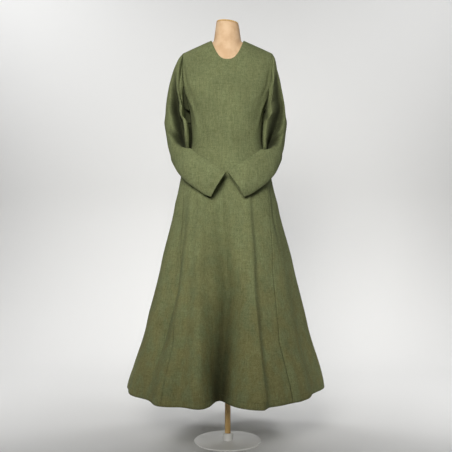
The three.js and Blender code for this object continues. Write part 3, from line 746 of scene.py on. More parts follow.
@dataclass
class Sleeves:
    """Both sleeves and their underarm gussets."""

    surface: BodySurface = field(default_factory=BodySurface)
    around: int = 120
    rings: int = 190
    head_blend: float = 1.6
    gusset_wide: float = 29.0
    gusset_lift: float = 13.0
    section_square: tuple[float, float] = (2.0, 1.75)
    station_mm: float = 46.0
    degree_mm: float = 1.1
    # Creases fade where the sleeve is thinner than this on each side of its middle.
    full_crease_half: float = 30.0
    # The gap at each seam of a gusset, and its points along and across.
    seam_gap: float = 0.3
    gusset_tip: float = 0.4
    gusset_rows: int = 41
    gusset_columns: int = 15

    # The heights down the armhole, and the index of the place where the gusset begins.
    ARMHOLE_Z = (1627, 1624, 1616, 1600, 1577, 1549, 1519, 1488, 1458, 1430, 1406, 1384)
    TIP_INDEX = 7
    # The sleeve's head: X and Z of its outer and inner side, Y of its front and back.
    HEAD = (
        (-187, 1627, -183, 1398, -58, 60),
        (-206, 1604, -182, 1395, -64, 68),
        (-227, 1558, -181.5, 1389, -70, 76),
        (-243, 1504, -181, 1379, -75, 80),
        (-253, 1452, -180, 1362, -79, 78),
        (-259.5, 1398, -177, 1338, -83, 72),
    )
    # The arm: the place of its front or top edge, the place of its back or lower edge, and half its thickness.
    ARM = (
        (-190, -88, 1330, -246, 62, 1345, 44),
        (-175, -96, 1284, -246, 46, 1296, 41),
        (-167, -103, 1248, -240, 12, 1232, 36),
        (-161, -110, 1226, -228, -38, 1172, 31),
        (-148, -122, 1213, -202, -84, 1120, 27),
        (-119, -142, 1192, -170, -116, 1084, 24),
        (-80, -160, 1168, -134, -142, 1056, 22),
        (-40, -172, 1143, -96, -160, 1030, 20),
        (-4, -179, 1120, -67, -170, 1018, 18),
    )
    # The slack at the inner back of the upper arm: (station, mm) rows, and its place and spread in degrees.
    SLACK = {
        Side.LEFT: ((0, 0), (1, 12), (2, 36), (4.5, 42), (5.6, 60), (7.5, 64), (8.6, 47), (10.5, 0)),
        Side.RIGHT: ((0, 0), (1, 10), (2, 28), (4.5, 34), (5.6, 52), (7.5, 58), (8.6, 40), (10.5, 0)),
    }
    SLACK_TURN, SLACK_SPREAD = -138.0, 25.0
    # How far the front of the upper arm leans in towards the body: (station, mm) rows.
    LEAN = ((0, 0), (2, 0), (3, 10), (4, 20), (5, 18), (6, 8), (7, 3), (8, 0))
    # The depths in mm at which the valley and elbow fold get their fullest painted shade, and the spread of the
    # slack's painted shade.
    VALLEY_SHADED, FOLD_SHADED, SLACK_SHADED = 72.0, 24.0, 54.0
    # The power that makes a crease's painted shade wider than the crease, and the gusset's painted shade in the
    # armpit.
    SHADE_WIDENED = 0.45
    GUSSET_PAINTED_SHADE = 0.8
    # How much closer to the middle the right sleeve hangs than the left one, at heights.
    CLOSER = Profile((1627, 1560, 1480, 1380, 1240, 1150, 1060), (1, 19, 22, 19, 14, 10, 2))

    def stations(self) -> np.ndarray:
        """The left sleeve's stations, from the armhole to the cuff.

        Returns:
            Rows of nine numbers: the centre, the half-axis to the front or top edge, the outward half-axis.
        """
        rows = []
        for out_x, out_z, in_x, in_z, front, back in self.HEAD:
            centre = ((out_x + in_x) / 2, (front + back) / 2, (out_z + in_z) / 2)
            rows.append((*centre, 0, (front - back) / 2, 0, (out_x - in_x) / 2, 0, (out_z - in_z) / 2))
        for fx, fy, fz, bx, by, bz, half in self.ARM:
            wide = ((fx - bx) / 2, (fy - by) / 2, (fz - bz) / 2)
            flat = math.hypot(wide[0], wide[1])
            thin = (wide[1] / flat * half, -wide[0] / flat * half, 0)
            rows.append(((fx + bx) / 2, (fy + by) / 2, (fz + bz) / 2, *wide, *thin))
        return np.array(rows, dtype=float)

    def on_side(self, points: np.ndarray, side: Side) -> np.ndarray:
        """Puts left-sleeve points on a side: the right sleeve is mirrored and hangs closer.

        Args:
            points: places in mm.
            side: the side.

        Returns:
            The places on that side.
        """
        if side is Side.LEFT:
            return points
        moved = points.copy()
        moved[..., 0] = -points[..., 0] - self.CLOSER.straight(points[..., 2])
        return moved

    def section(self, station: np.ndarray, share: np.ndarray, side: Side, creased: bool) -> np.ndarray:
        """Points of the sleeve before the armhole is blended in.

        Args:
            station: the stations, a column.
            share: the shares round the ring from the shoulder over the front, a row.
            side: which sleeve.
            creased: whether creases are added.

        Returns:
            Points in mm.
        """
        rows = self.stations()
        last = len(rows) - 1
        i = np.clip(np.floor(station).astype(int), 0, last - 1)
        at = spline(rows, i[:, 0], (station - i)[:, 0])[:, None, :]
        centre, wide, thin = at[..., 0:3], at[..., 3:6], at[..., 6:9]
        turn = np.pi / 2 - 2 * np.pi * share
        degrees = np.degrees(turn)
        square = self.section_square[0] + (self.section_square[1] - self.section_square[0]) * station / last
        cosine, sine = np.cos(turn), np.sin(turn)
        along = np.sign(cosine) * np.abs(cosine) ** (2 / square)
        up = np.sign(sine) * np.abs(sine) ** (2 / square)
        points = centre + wide * along[..., None] + thin * up[..., None]
        slack = np.interp(station, *zip(*self.SLACK[side]))
        points[..., 0] += slack * np.exp(-(((degrees - self.SLACK_TURN) / self.SLACK_SPREAD) ** 2))
        points[..., 0] += np.interp(station, *zip(*self.LEAN)) * np.maximum(0, cosine) ** 2
        if creased:
            wide_size = np.linalg.norm(wide, axis=2, keepdims=True)
            thin_size = np.linalg.norm(thin, axis=2, keepdims=True)
            out = wide / wide_size**2 * cosine[..., None] + thin / thin_size**2 * sine[..., None]
            out = out / np.linalg.norm(out, axis=2, keepdims=True)
            high = sum(self.crease_height(crease, degrees, station) for crease in SLEEVE_CREASES[side])
            room = np.minimum(1.0, thin_size[..., 0] / self.full_crease_half)
            points = points + out * (high * room)[..., None]
            points[..., 1] += self.crease_height(SLEEVE_VALLEYS[side], degrees, station)
        return self.on_side(points, side)

    def crease_height(self, crease: Crease, degrees: np.ndarray, station: np.ndarray) -> np.ndarray:
        """How far a sleeve's crease stands out at each point, in mm."""
        return crease.height(degrees, station, self.degree_mm, self.station_mm)

    def depth(self, station: np.ndarray, share: np.ndarray, side: Side) -> np.ndarray:
        """How deep each point lies in the valley, the elbow fold or the slack: the mask of the painted shade
        that darkens the wool there.

        Args:
            station: the stations, a column.
            share: the shares round the ring from the shoulder over the front, a row.
            side: which sleeve.

        Returns:
            Depths from 0 to 1.
        """
        degrees = 90 - 360 * share
        valley = self.crease_height(SLEEVE_VALLEYS[side], degrees, station) / self.VALLEY_SHADED
        fold = -self.crease_height(SLEEVE_CREASES[side][0], degrees, station) / self.FOLD_SHADED
        deepest = max(mm for _, mm in self.SLACK[side])
        slack = (np.interp(station, *zip(*self.SLACK[side])) / deepest) ** self.SHADE_WIDENED
        slack = slack * np.exp(-(((degrees - self.SLACK_TURN) / self.SLACK_SHADED) ** 2))
        creased = np.clip(np.maximum(valley, fold), 0, 1) ** self.SHADE_WIDENED
        return np.maximum(creased, slack)

    def armhole(self, side: Side) -> tuple[np.ndarray, np.ndarray]:
        """The two edges that meet at an armhole, down the front and up the back.

        Args:
            side: which sleeve.

        Returns:
            The points on the body and the sleeve's first ring, in mm.
        """
        z = np.array(self.ARMHOLE_Z, dtype=float)
        down = self.surface.point(self.surface.seam(f"front_{side.word}", z), z)
        up = self.surface.point(self.surface.seam(f"back_{side.word}", z), z)[1:-1][::-1]
        body = np.concatenate([down, up])
        count = len(body)
        under = (np.arange(count) - self.TIP_INDEX) / (count - 2 * self.TIP_INDEX)
        wave = np.where((under > 0) & (under < 1), np.sin(np.pi * np.clip(under, 0, 1)), 0)
        out = side.value * (self.seam_gap + self.gusset_wide * wave)
        return body, body + np.stack([out, 0 * wave, self.gusset_lift * wave], axis=1)

    def finer(self, ring: np.ndarray, share: np.ndarray) -> np.ndarray:
        """A ring of points read at shares round it.

        Args:
            ring: its points.
            share: shares from 0 to 1 of the way round.

        Returns:
            The places at those shares.
        """
        closed = joined(ring)
        at = np.linspace(0, 1, len(closed))
        return np.stack([np.interp(share, at, closed[:, k]) for k in range(3)], axis=-1)

    def sleeve(self, side: Side) -> ClothGrid:
        """A sleeve from the armhole to the cuff.

        Args:
            side: which sleeve.

        Returns:
            The sleeve's grid.
        """
        last = len(self.HEAD) + len(self.ARM) - 1
        station = np.linspace(0, last, self.rings)[:, None]
        share = np.linspace(0, 1, self.around + 1)[None, :]
        points = self.section(station, share, side, creased=True)
        start = self.section(np.zeros((1, 1)), share, side, creased=False)
        ring = self.finer(self.armhole(side)[1], share[0])[None]
        fade = np.maximum(0, 1 - station / self.head_blend)[..., None] ** 2
        points = points + (ring - start) * fade
        deep = self.depth(station, share, side)
        name = f"sleeve_{side.word}"
        return ClothGrid(name, points, is_ring=True, sewn=(Edge.TOP,), turned=(Edge.HEM,), deep=deep)

    def gusset(self, side: Side) -> ClothGrid:
        """The underarm gusset between the armhole's lower part and the sleeve.

        Args:
            side: which sleeve.

        Returns:
            The gusset's grid.
        """
        body, sleeve = self.armhole(side)
        first = self.TIP_INDEX + self.gusset_tip
        place = np.linspace(first, len(body) - first, self.gusset_rows)
        at = np.arange(len(body))
        near = np.stack([np.interp(place, at, body[:, k]) for k in range(3)], axis=-1)
        far = np.stack([np.interp(place, at, sleeve[:, k]) for k in range(3)], axis=-1)
        across = (far - near) / np.linalg.norm(far - near, axis=1, keepdims=True)
        near, far = near + self.seam_gap * across, far - self.seam_gap * across
        share = np.linspace(0, 1, self.gusset_columns)[None, :, None]
        points = near[:, None] * (1 - share) + far[:, None] * share
        # Painted shade: the whole gusset is darkened as if it lay in the armpit's shade.
        deep = np.full(points.shape[:2], self.GUSSET_PAINTED_SHADE)
        return ClothGrid(f"gusset_{side.word}", points, sewn=(Edge.LEFT, Edge.RIGHT), deep=deep)

    def grids(self) -> list[ClothGrid]:
        """Both sleeves and both gussets."""
        return [make(side) for side in Side for make in (self.sleeve, self.gusset)]


@dataclass
class DressForm:
    """The limbless form under the dress: a soft solid from the neck's flat top to its flat underside."""

    finish: bpy.types.Material
    surface: BodySurface = field(default_factory=BodySurface)
    sides: int = 96
    rings: int = 110
    # The power by which a ring rises over the shoulders, and the slope of the neck's top, down towards +X.
    shoulder_ease: float = 2.6
    top_tilt: float = 0.1
    # The neck's rounded top edge: its steps, how far it turns in and down, and its clearance inside the solid.
    rim_steps: int = 5
    rim_in: float = 2.2
    rim_down: float = 1.2
    rim_clear: float = 0.4
    # The rolled seam round the neck's top: its thickness, and how far it lies in and down from the edge.
    roll_radius: float = 0.9
    roll_in: float = 0.6
    roll_down: float = 1.4
    obj: bpy.types.Object | None = field(default=None, repr=False)

    # Half-width, front and back depth, heights at side, front and back.
    RINGS = (
        (47, 46, 48, 1752, 1752, 1752),
        (51, 50, 52, 1726, 1724, 1726),
        (54, 53, 54, 1704, 1690, 1700),
        (60, 56, 55, 1676, 1628, 1655),
        (86, 61, 60, 1668.8, 1588, 1618),
        (115, 73, 69, 1656.3, 1572, 1600),
        (140, 79, 75, 1645.2, 1546, 1572),
        (151, 85, 80, 1630, 1525, 1545),
        (154, 93, 86, 1603, 1498, 1515),
        (150, 101, 90, 1548, 1462, 1475),
        (142, 105, 90, 1470, 1425, 1440),
        (134, 100, 84, 1390, 1375, 1385),
        (124, 90, 76, 1320, 1315, 1318),
        (120, 84, 72, 1255, 1255, 1255),
        (134, 90, 82, 1190, 1190, 1190),
        (154, 102, 100, 1110, 1110, 1110),
        (161, 108, 108, 1030, 1030, 1030),
        (158, 106, 106, 945, 945, 945),
        (152, 100, 100, 932, 932, 932),
    )

    def ring(self, at: float) -> np.ndarray:
        """One ring of the form.

        Args:
            at: a row of the table, or a place between two rows.

        Returns:
            Its points in mm, from the front towards +X.
        """
        rows = np.array(self.RINGS, dtype=float)
        i = min(int(at), len(rows) - 2)
        wide, front, back, side_z, front_z, back_z = spline(rows, np.array([i]), np.array([at - i]))[0]
        turn = 2 * np.pi * np.arange(self.sides) / self.sides
        is_front = np.cos(turn) > 0
        share = np.abs(np.sin(turn)) ** self.shoulder_ease
        low = np.where(is_front, front_z, back_z)
        x = wide * np.sin(turn)
        y = -np.where(is_front, front, back) * np.cos(turn)
        z = low + (side_z - low) * share - self.top_tilt * x * max(0.0, 1 - at)
        return np.stack([x + self.surface.middle.eased(np.array(side_z)), y, z], axis=1)

    def drawn_in(self, ring: np.ndarray, inward: float, down: float) -> np.ndarray:
        """The neck's top ring, moved towards its middle and down.

        Args:
            ring: its points in mm.
            inward: how far each side moves in.
            down: how far it moves down.

        Returns:
            The moved points.
        """
        centre = ring.mean(axis=0)
        moved = centre + (ring - centre) * (1 - inward / self.RINGS[0][0])
        moved[:, 2] -= down
        return moved

    def build(self) -> None:
        """Makes the form as one grid of rings from the neck down, joined round and filled at both ends."""
        top, rings = self.ring(0), []
        for k in range(self.rim_steps, 0, -1):
            turn = math.pi / 2 * k / self.rim_steps
            inward = self.rim_in * (1 - math.cos(turn)) + self.rim_clear
            rings.append(self.drawn_in(top, inward, self.rim_down * (1 - math.sin(turn))))
        rings += [self.ring(at) for at in np.linspace(0, len(self.RINGS) - 1, self.rings)[1:]]
        bm, _, _ = placed_grid(np.stack([joined(ring) for ring in rings]))
        close_solid(bm)
        self.obj = new_object("form_cover", bm, self.finish)
        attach(self.obj, "root")
        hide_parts("form_body")
        log.info("form: %d rings", len(rings))
        self.build_top_seam()

    def build_top_seam(self) -> None:
        """Makes the thin rolled seam of the cover round the neck's top edge."""
        path = self.drawn_in(self.ring(0), self.roll_in, self.roll_down)
        roll = Tube(path, self.roll_radius, is_closed=True).build("neck_top_seam", self.finish)
        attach(roll, "root")


@dataclass
class Tube:
    """A thin round tube along a path of points in mm."""

    path: np.ndarray
    radius: float
    is_closed: bool = False
    sides: int = 6

    # Where the sideways direction is shorter than this, the path is upright and Y gives the side.
    UPRIGHT = 0.1

    def rings(self) -> np.ndarray:
        """The rings of points along the path.

        Returns:
            Places in mm, rings by points by three. Each ring ends with its first point again, and a closed
            tube with its first ring.
        """
        path = self.path
        if self.is_closed:
            ahead = np.roll(path, -1, axis=0) - np.roll(path, 1, axis=0)
        else:
            ahead = np.gradient(path, axis=0)
        ahead = ahead / (np.linalg.norm(ahead, axis=1, keepdims=True) + TINY)
        side = np.cross(ahead, np.array([0.0, 0.0, 1.0]))
        upright = np.linalg.norm(side, axis=1) < self.UPRIGHT
        side[upright] = np.cross(ahead[upright], np.array([0.0, 1.0, 0.0]))
        side = side / np.linalg.norm(side, axis=1, keepdims=True)
        up = np.cross(side, ahead)
        turn = 2 * np.pi * np.arange(self.sides) / self.sides
        out = np.cos(turn)[:, None] * side[:, None] + np.sin(turn)[:, None] * up[:, None]
        rings = path[:, None] + self.radius * out
        rings = np.concatenate([rings, rings[:, :1]], axis=1)
        return joined(rings) if self.is_closed else rings

    def build(self, name: str, finish: bpy.types.Material) -> bpy.types.Object:
        """Makes the tube as an object of its own.

        Args:
            name: the object's name.
            finish: its material.

        Returns:
            The object.
        """
        bm, _, _ = placed_grid(self.rings())
        close_solid(bm)
        return new_object(name, bm, finish)


@dataclass
class Stitching:
    """A row of small hand stitches round a piece of cloth, a little way up from its hem or cuff."""

    grid: ClothGrid
    inset: float
    finish: bpy.types.Material
    pitch: float = 9.0
    length: float = 3.4
    radius: float = 0.45
    sides: int = 4
    # The points along one stitch, and how far the thread's middle lies off the cloth.
    bends: int = 4
    lift: float = 0.15

    def line(self) -> np.ndarray:
        """The stitch line on the cloth's outside.

        Returns:
            Its points in mm, one for each column of the grid.
        """
        _, top = self.grid.lengths()
        from_hem = top[-1:, :] - top
        line = []
        for column, far in zip(self.grid.points.swapaxes(0, 1), from_hem.T):
            upwards = np.argsort(far)
            line.append([np.interp(self.inset, far[upwards], column[upwards, k]) for k in range(3)])
        return np.array(line) + self.grid.normals()[-3] * self.lift

    def build(self) -> bpy.types.Object:
        """Makes the stitches as one mesh: one long grid of rings, cut between the stitches.

        Returns:
            The object.
        """
        line = self.line()
        step = np.concatenate([[0], np.cumsum(np.linalg.norm(np.diff(line, axis=0), axis=1))])
        count = int((step[-1] - self.pitch) / self.pitch)
        stitches = []
        for k in range(count):
            at = self.pitch * (k + 0.5) + np.linspace(0, self.length, self.bends)
            path = np.stack([np.interp(at, step, line[:, axis]) for axis in range(3)], axis=1)
            stitches.append(Tube(path, self.radius, sides=self.sides).rings())
        bm, row, _ = placed_grid(np.concatenate(stitches))
        between = [f for f in bm.faces if min(row[v.index] for v in f.verts) % self.bends == self.bends - 1]
        bmesh.ops.delete(bm, geom=between, context="FACES")
        close_solid(bm)
        obj = new_object(f"{self.grid.name}_hem_stitches", bm, self.finish)
        log.info("%s: %d stitches", obj.name, count)
        return obj


@dataclass
class TurnedPart:
    """A round part turned about an upright axis from a profile of radius and height in mm."""

    name: str
    profile: tuple[tuple[float, float], ...]
    finish: bpy.types.Material
    middle_x: float = 0.0
    tilt: float = 0.0
    steps: int = 72
    # Edges that turn by more than this many degrees are sharp.
    sharp_angle: float = 35.0

    def build(self) -> bpy.types.Object:
        """Spins the profile.

        Returns:
            The object.
        """
        bm = bmesh.new()
        verts = [bm.verts.new((r * MM, 0, z * MM)) for r, z in self.profile]
        edges = [bm.edges.new(pair) for pair in zip(verts, verts[1:])]
        bmesh.ops.spin(
            bm, geom=verts + edges, cent=(0, 0, 0), axis=(0, 0, 1), angle=2 * math.pi, steps=self.steps,
            use_merge=True,
        )
        bmesh.ops.remove_doubles(bm, verts=bm.verts, dist=WELD)
        bmesh.ops.recalc_face_normals(bm, faces=bm.faces)
        for vert in bm.verts:
            vert.co.z -= self.tilt * vert.co.x
            vert.co.x += self.middle_x * MM
        for face in bm.faces:
            face.smooth = True
        sharp = math.radians(self.sharp_angle)
        for edge in bm.edges:
            edge.smooth = len(edge.link_faces) == 2 and edge.calc_face_angle(0) < sharp
        return new_object(self.name, bm, self.finish)


@dataclass
class Stand:
    """The neck's wooden plate, the flange, pole, collar and foot plate, with sizes in mm."""

    wood: bpy.types.Material
    metal: bpy.types.Material
    middle_x: float = -1.0
    form_top: float = 1752.0
    form_low: float = 932.0
    gap: float = 0.3
    plate_radius: float = 46.0
    plate_thick: float = 6.0
    plate_tilt: float = 0.1
    flange_radius: float = 38.0
    flange_thick: float = 9.0
    pole_radius: float = 12.0
    collar_radius: float = 21.0
    collar_top: float = 35.3
    foot_radius: float = 140.0
    foot_thick: float = 5.0

    @property
    def flange_low(self) -> float:
        """The height of the flange's underside."""
        return self.form_low - self.gap - self.flange_thick

    def neck_plate(self) -> TurnedPart:
        """The tilted wooden plate on the neck, its top edge rounded."""
        r, low, high = self.plate_radius, self.form_top + self.gap, self.form_top + self.plate_thick
        profile = ((0, low), (r - 1, low), (r, low + 1), (r, high - 1.4), (r - 0.5, high - 0.5),
                   (r - 1.6, high), (0, high))
        return TurnedPart("neck_top_plate", profile, self.wood, middle_x=self.middle_x, tilt=self.plate_tilt)

    def flange(self) -> TurnedPart:
        """The pale flange under the form, its lower edge rounded."""
        r, low, high = self.flange_radius, self.flange_low, self.form_low - self.gap
        profile = ((0, low), (r - 1.5, low), (r - 0.4, low + 0.4), (r, low + 1.5), (r, high), (0, high))
        return TurnedPart("flange", profile, self.metal)

    def pole(self) -> TurnedPart:
        """The wooden pole from the foot plate to the flange."""
        r, low, high = self.pole_radius, self.foot_thick + self.gap, self.flange_low - self.gap
        return TurnedPart("stand_pole", ((0, low), (r, low), (r, high), (0, high)), self.wood)

    def collar(self) -> TurnedPart:
        """The pale collar round the pole's foot, its top edge rounded."""
        hole, r = self.pole_radius + self.gap, self.collar_radius
        low, high = self.foot_thick + self.gap, self.collar_top
        profile = ((hole, low), (r - 0.6, low), (r, self.foot_thick + 1), (r, high - 3),
                   (r - 0.7, high - 1.1), (r - 2.4, high), (self.pole_radius + 1.2, high),
                   (hole, high - 0.7), (hole, low))
        return TurnedPart("collar", profile, self.metal)

    def foot(self) -> TurnedPart:
        """The round foot plate, its edges rounded."""
        r, high = self.foot_radius, self.foot_thick
        profile = ((0, 0), (r - 0.8, 0), (r, 0.8), (r, high - 1.5), (r - 0.5, high - 0.5), (r - 1.6, high),
                   (0, high))
        return TurnedPart("foot", profile, self.metal)

    def build(self) -> None:
        """Makes each part and gives it its place in the frame."""
        parts = {
            "neck_plate": self.neck_plate(),
            "pole_flange": self.flange(),
            "pole": self.pole(),
            "pole_collar": self.collar(),
            "foot_plate": self.foot(),
        }
        for node, part in parts.items():
            obj = part.build()
            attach(obj, "root")
            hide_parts(node)
            log.info("stand: %s", part.name)


class Socket(Enum):
    """The kinds of socket on a shader node group."""

    VECTOR = "NodeSocketVector"
    COLOUR = "NodeSocketColor"
    NUMBER = "NodeSocketFloat"


@dataclass
class Nodes:
    """Adds and links shader nodes in one tree."""

    tree: bpy.types.NodeTree

    def feed(self, node: bpy.types.Node, values: dict[str | int, object]) -> None:
        """Gives a node's inputs their values: a socket is linked, anything else is set.

        Args:
            node: the node.
            values: sockets or numbers by the input's name or index.
        """
        for name, value in values.items():
            socket = node.inputs[name]
            if isinstance(value, bpy.types.NodeSocket):
                self.tree.links.new(value, socket)
            else:
                socket.default_value = value

    def add(self, kind: str, values: dict[str | int, object] | None = None,
            **settings: object) -> bpy.types.Node:
        """Adds a node.

        Args:
            kind: the node's type.
            values: what its inputs are fed with.
            **settings: attributes of the node.

        Returns:
            The node.
        """
        node = self.tree.nodes.new(kind)
        for name, value in settings.items():
            setattr(node, name, value)
        self.feed(node, values or {})
        return node

    def maths(self, operation: str, a: object, b: object = 0.0) -> bpy.types.NodeSocket:
        """A sum of two numbers or sockets."""
        return self.add("ShaderNodeMath", {0: a, 1: b}, operation=operation).outputs[0]

    def noise(self, vector: bpy.types.NodeSocket, scale: object, detail: float) -> bpy.types.NodeSocket:
        """Noise from 0 to 1 at a scale per metre."""
        values = {"Vector": vector, "Scale": scale, "Detail": detail}
        return self.add("ShaderNodeTexNoise", values).outputs["Fac"]

    def times(self, vector: bpy.types.NodeSocket, factors: tuple[float, float, float]) -> bpy.types.NodeSocket:
        """A vector or colour with each of its three numbers multiplied."""
        return self.add("ShaderNodeVectorMath", {0: vector, 1: factors}, operation="MULTIPLY").outputs[0]

    def scaled(self, vector: bpy.types.NodeSocket, scale: bpy.types.NodeSocket) -> bpy.types.NodeSocket:
        """A vector or colour multiplied by one number."""
        return self.add("ShaderNodeVectorMath", {0: vector, "Scale": scale}, operation="SCALE").outputs[0]

    def ramp(self, value: object, low: object, high: object, start: object,
             end: object) -> bpy.types.NodeSocket:
        """A clamped smooth step of a value from low..high to start..end."""
        values = {"Value": value, "From Min": low, "From Max": high, "To Min": start, "To Max": end}
        return self.add("ShaderNodeMapRange", values, interpolation_type="SMOOTHSTEP").outputs["Result"]

    def mix(self, share: object, a: object, b: object) -> bpy.types.NodeSocket:
        """Two colours mixed by a share. The mix node's colour sockets have only numbers."""
        node = self.add("ShaderNodeMix", data_type="RGBA")
        self.feed(node, {0: share, 6: a, 7: b})
        return node.outputs[2]

    def bump(self, height: bpy.types.NodeSocket, strength: float, distance: float,
             normal: bpy.types.NodeSocket | None = None) -> bpy.types.NodeSocket:
        """The normal that a height gives.

        Args:
            height: the height, as a socket.
            strength: how strongly it shows, from 0 to 1.
            distance: the height of 1 in metres.
            normal: the normal it is added to, if there is one.

        Returns:
            The normal's socket.
        """
        values = {"Height": height, "Strength": strength, "Distance": distance}
        if normal is not None:
            values["Normal"] = normal
        return self.add("ShaderNodeBump", values).outputs[0]

    def group(self, tree: bpy.types.NodeTree, values: dict[str | int, object]) -> bpy.types.Node:
        """Places a node group and feeds it."""
        return self.add("ShaderNodeGroup", values, node_tree=tree)


def shader_group(name: str, inputs: dict[str, Socket], outputs: dict[str, Socket],
                 fill: Callable[[Nodes, bpy.types.Node, bpy.types.Node], None]) -> bpy.types.NodeTree:
    """Makes a shader node group once and returns it.

    Args:
        name: the group's name.
        inputs: the kinds of the sockets coming in, by name.
        outputs: the kinds of the sockets going out, by name.
        fill: fills the group, given its nodes, group input and group output.

    Returns:
        The node group.
    """
    group = bpy.data.node_groups.get(name)
    if group:
        return group
    group = bpy.data.node_groups.new(name, "ShaderNodeTree")
    for in_out, sockets in (("INPUT", inputs), ("OUTPUT", outputs)):
        for label, kind in sockets.items():
            group.interface.new_socket(name=label, in_out=in_out, socket_type=kind.value)
    nodes = Nodes(group)
    fill(nodes, nodes.add("NodeGroupInput"), nodes.add("NodeGroupOutput"))
    return group


def fill_melange(nodes: Nodes, given: bpy.types.Node, result: bpy.types.Node) -> None:
    """Fibres of two shades spun together: flecks, short slubs both ways, streaks and patches, and a painted
    brownish warm tint towards the hem that stands in for light bounced up from the floor.

    Args:
        nodes: the group's nodes.
        given: its group input.
        result: its group output.
    """
    at = given.outputs["Place"]
    fleck = nodes.noise(at, scale=520.0, detail=3.0)
    slub_down = nodes.noise(nodes.times(at, (330.0, 330.0, 40.0)), scale=1.0, detail=2.0)
    slub_across = nodes.noise(nodes.times(at, (38.0, 60.0, 300.0)), scale=1.0, detail=2.0)
    patch = nodes.noise(at, scale=9.0, detail=3.0)
    streak = nodes.noise(nodes.times(at, (150.0, 150.0, 5.0)), scale=1.0, detail=2.0)
    cloud = nodes.noise(nodes.times(at, (26.0, 26.0, 16.0)), scale=1.0, detail=3.0)
    both = nodes.maths("ADD", nodes.maths("MULTIPLY", fleck, 0.5), nodes.maths("MULTIPLY", slub_down, 0.28))
    both = nodes.maths("ADD", both, nodes.maths("MULTIPLY", slub_across, 0.22))
    share = nodes.ramp(both, 0.34, 0.66, 0.0, 1.0)
    yarn = nodes.mix(share, given.outputs["Dark yarn"], given.outputs["Light yarn"])
    # Painted warm light: towards the hem the yarn turns browner, in soft patches, standing in for warm light
    # bounced up from the floor.
    height = nodes.add("ShaderNodeSeparateXYZ", {0: at}).outputs[2]
    low = nodes.ramp(height, 0.3, 1.15, 1.0, 0.15)
    painted_bounce_share = nodes.maths("MULTIPLY", low, nodes.ramp(cloud, 0.34, 0.64, 0.2, 0.9))
    yarn = nodes.mix(painted_bounce_share, yarn, nodes.times(yarn, (1.10, 0.92, 0.80)))
    faded = nodes.maths(
        "MULTIPLY", nodes.ramp(patch, 0.3, 0.7, 0.93, 1.07), nodes.ramp(streak, 0.3, 0.7, 0.93, 1.07)
    )
    nodes.feed(result, {"Colour": nodes.scaled(yarn, faded), "Height": both})


def fill_weave(nodes: Nodes, given: bpy.types.Node, result: bpy.types.Node) -> None:
    """A plain weave's height from a flat map: yarns over and under each other.

    Args:
        nodes: the group's nodes.
        given: its group input.
        result: its group output.
    """
    parts = nodes.add("ShaderNodeSeparateXYZ", {0: given.outputs["Flat map"]})
    turn = nodes.maths("DIVIDE", 2 * math.pi, given.outputs["Pitch"])
    across = nodes.maths("SINE", nodes.maths("MULTIPLY", parts.outputs[0], turn))
    down = nodes.maths("SINE", nodes.maths("MULTIPLY", parts.outputs[1], turn))
    nodes.feed(result, {"Height": nodes.maths("MULTIPLY", across, down)})


def fill_seam(nodes: Nodes, given: bpy.types.Node, result: bpy.types.Node) -> None:
    """A pressed seam: a groove at the sewn edge, a faint ridge where the allowance ends, a hem line, and
    painted shade that darkens the cloth along the sewn edge where the groove is shaded.

    Args:
        nodes: the group's nodes.
        given: its group input.
        result: its group output.
    """
    sewn = given.outputs["Sewn"]
    groove = nodes.ramp(sewn, 0.0, 2.0, -0.4, 0.0)
    ridge = nodes.ramp(nodes.maths("ABSOLUTE", nodes.maths("SUBTRACT", sewn, 9.0)), 0.0, 3.0, 0.18, 0.0)
    hem = nodes.maths("SUBTRACT", given.outputs["Turned"], given.outputs["Hem depth"])
    line = nodes.ramp(nodes.maths("ABSOLUTE", hem), 0.0, 2.5, -0.5, 0.0)
    height = nodes.maths("ADD", nodes.maths("ADD", groove, ridge), line)
    # The Shade output is painted shade: the cloth darkens towards the sewn edge, where the seam's groove is
    # shaded.
    nodes.feed(result, {"Height": height, "Shade": nodes.ramp(sewn, 0.0, 1.8, 0.55, 1.0)})


def fill_skin(nodes: Nodes, given: bpy.types.Node, result: bpy.types.Node) -> None:
    """An uneven skin: wide patches that change its roughness, and a fine grain.

    Args:
        nodes: the group's nodes.
        given: its group input.
        result: its group output.
    """
    at = given.outputs["Place"]
    patch = nodes.noise(at, given.outputs["Patch scale"], detail=4.0)
    grain = nodes.noise(at, given.outputs["Grain scale"], detail=2.0)
    rough = nodes.ramp(patch, 0.3, 0.7, given.outputs["Smoothest"], given.outputs["Roughest"])
    nodes.feed(result, {"Patch": patch, "Grain": grain, "Roughness": rough})


def uneven_skin() -> bpy.types.NodeTree:
    """The node group of an uneven skin, shared by the cover and the painted metal."""
    inputs = {"Place": Socket.VECTOR, "Patch scale": Socket.NUMBER, "Grain scale": Socket.NUMBER,
              "Smoothest": Socket.NUMBER, "Roughest": Socket.NUMBER}
    outputs = {"Patch": Socket.NUMBER, "Grain": Socket.NUMBER, "Roughness": Socket.NUMBER}
    return shader_group("Uneven skin", inputs, outputs, fill_skin)


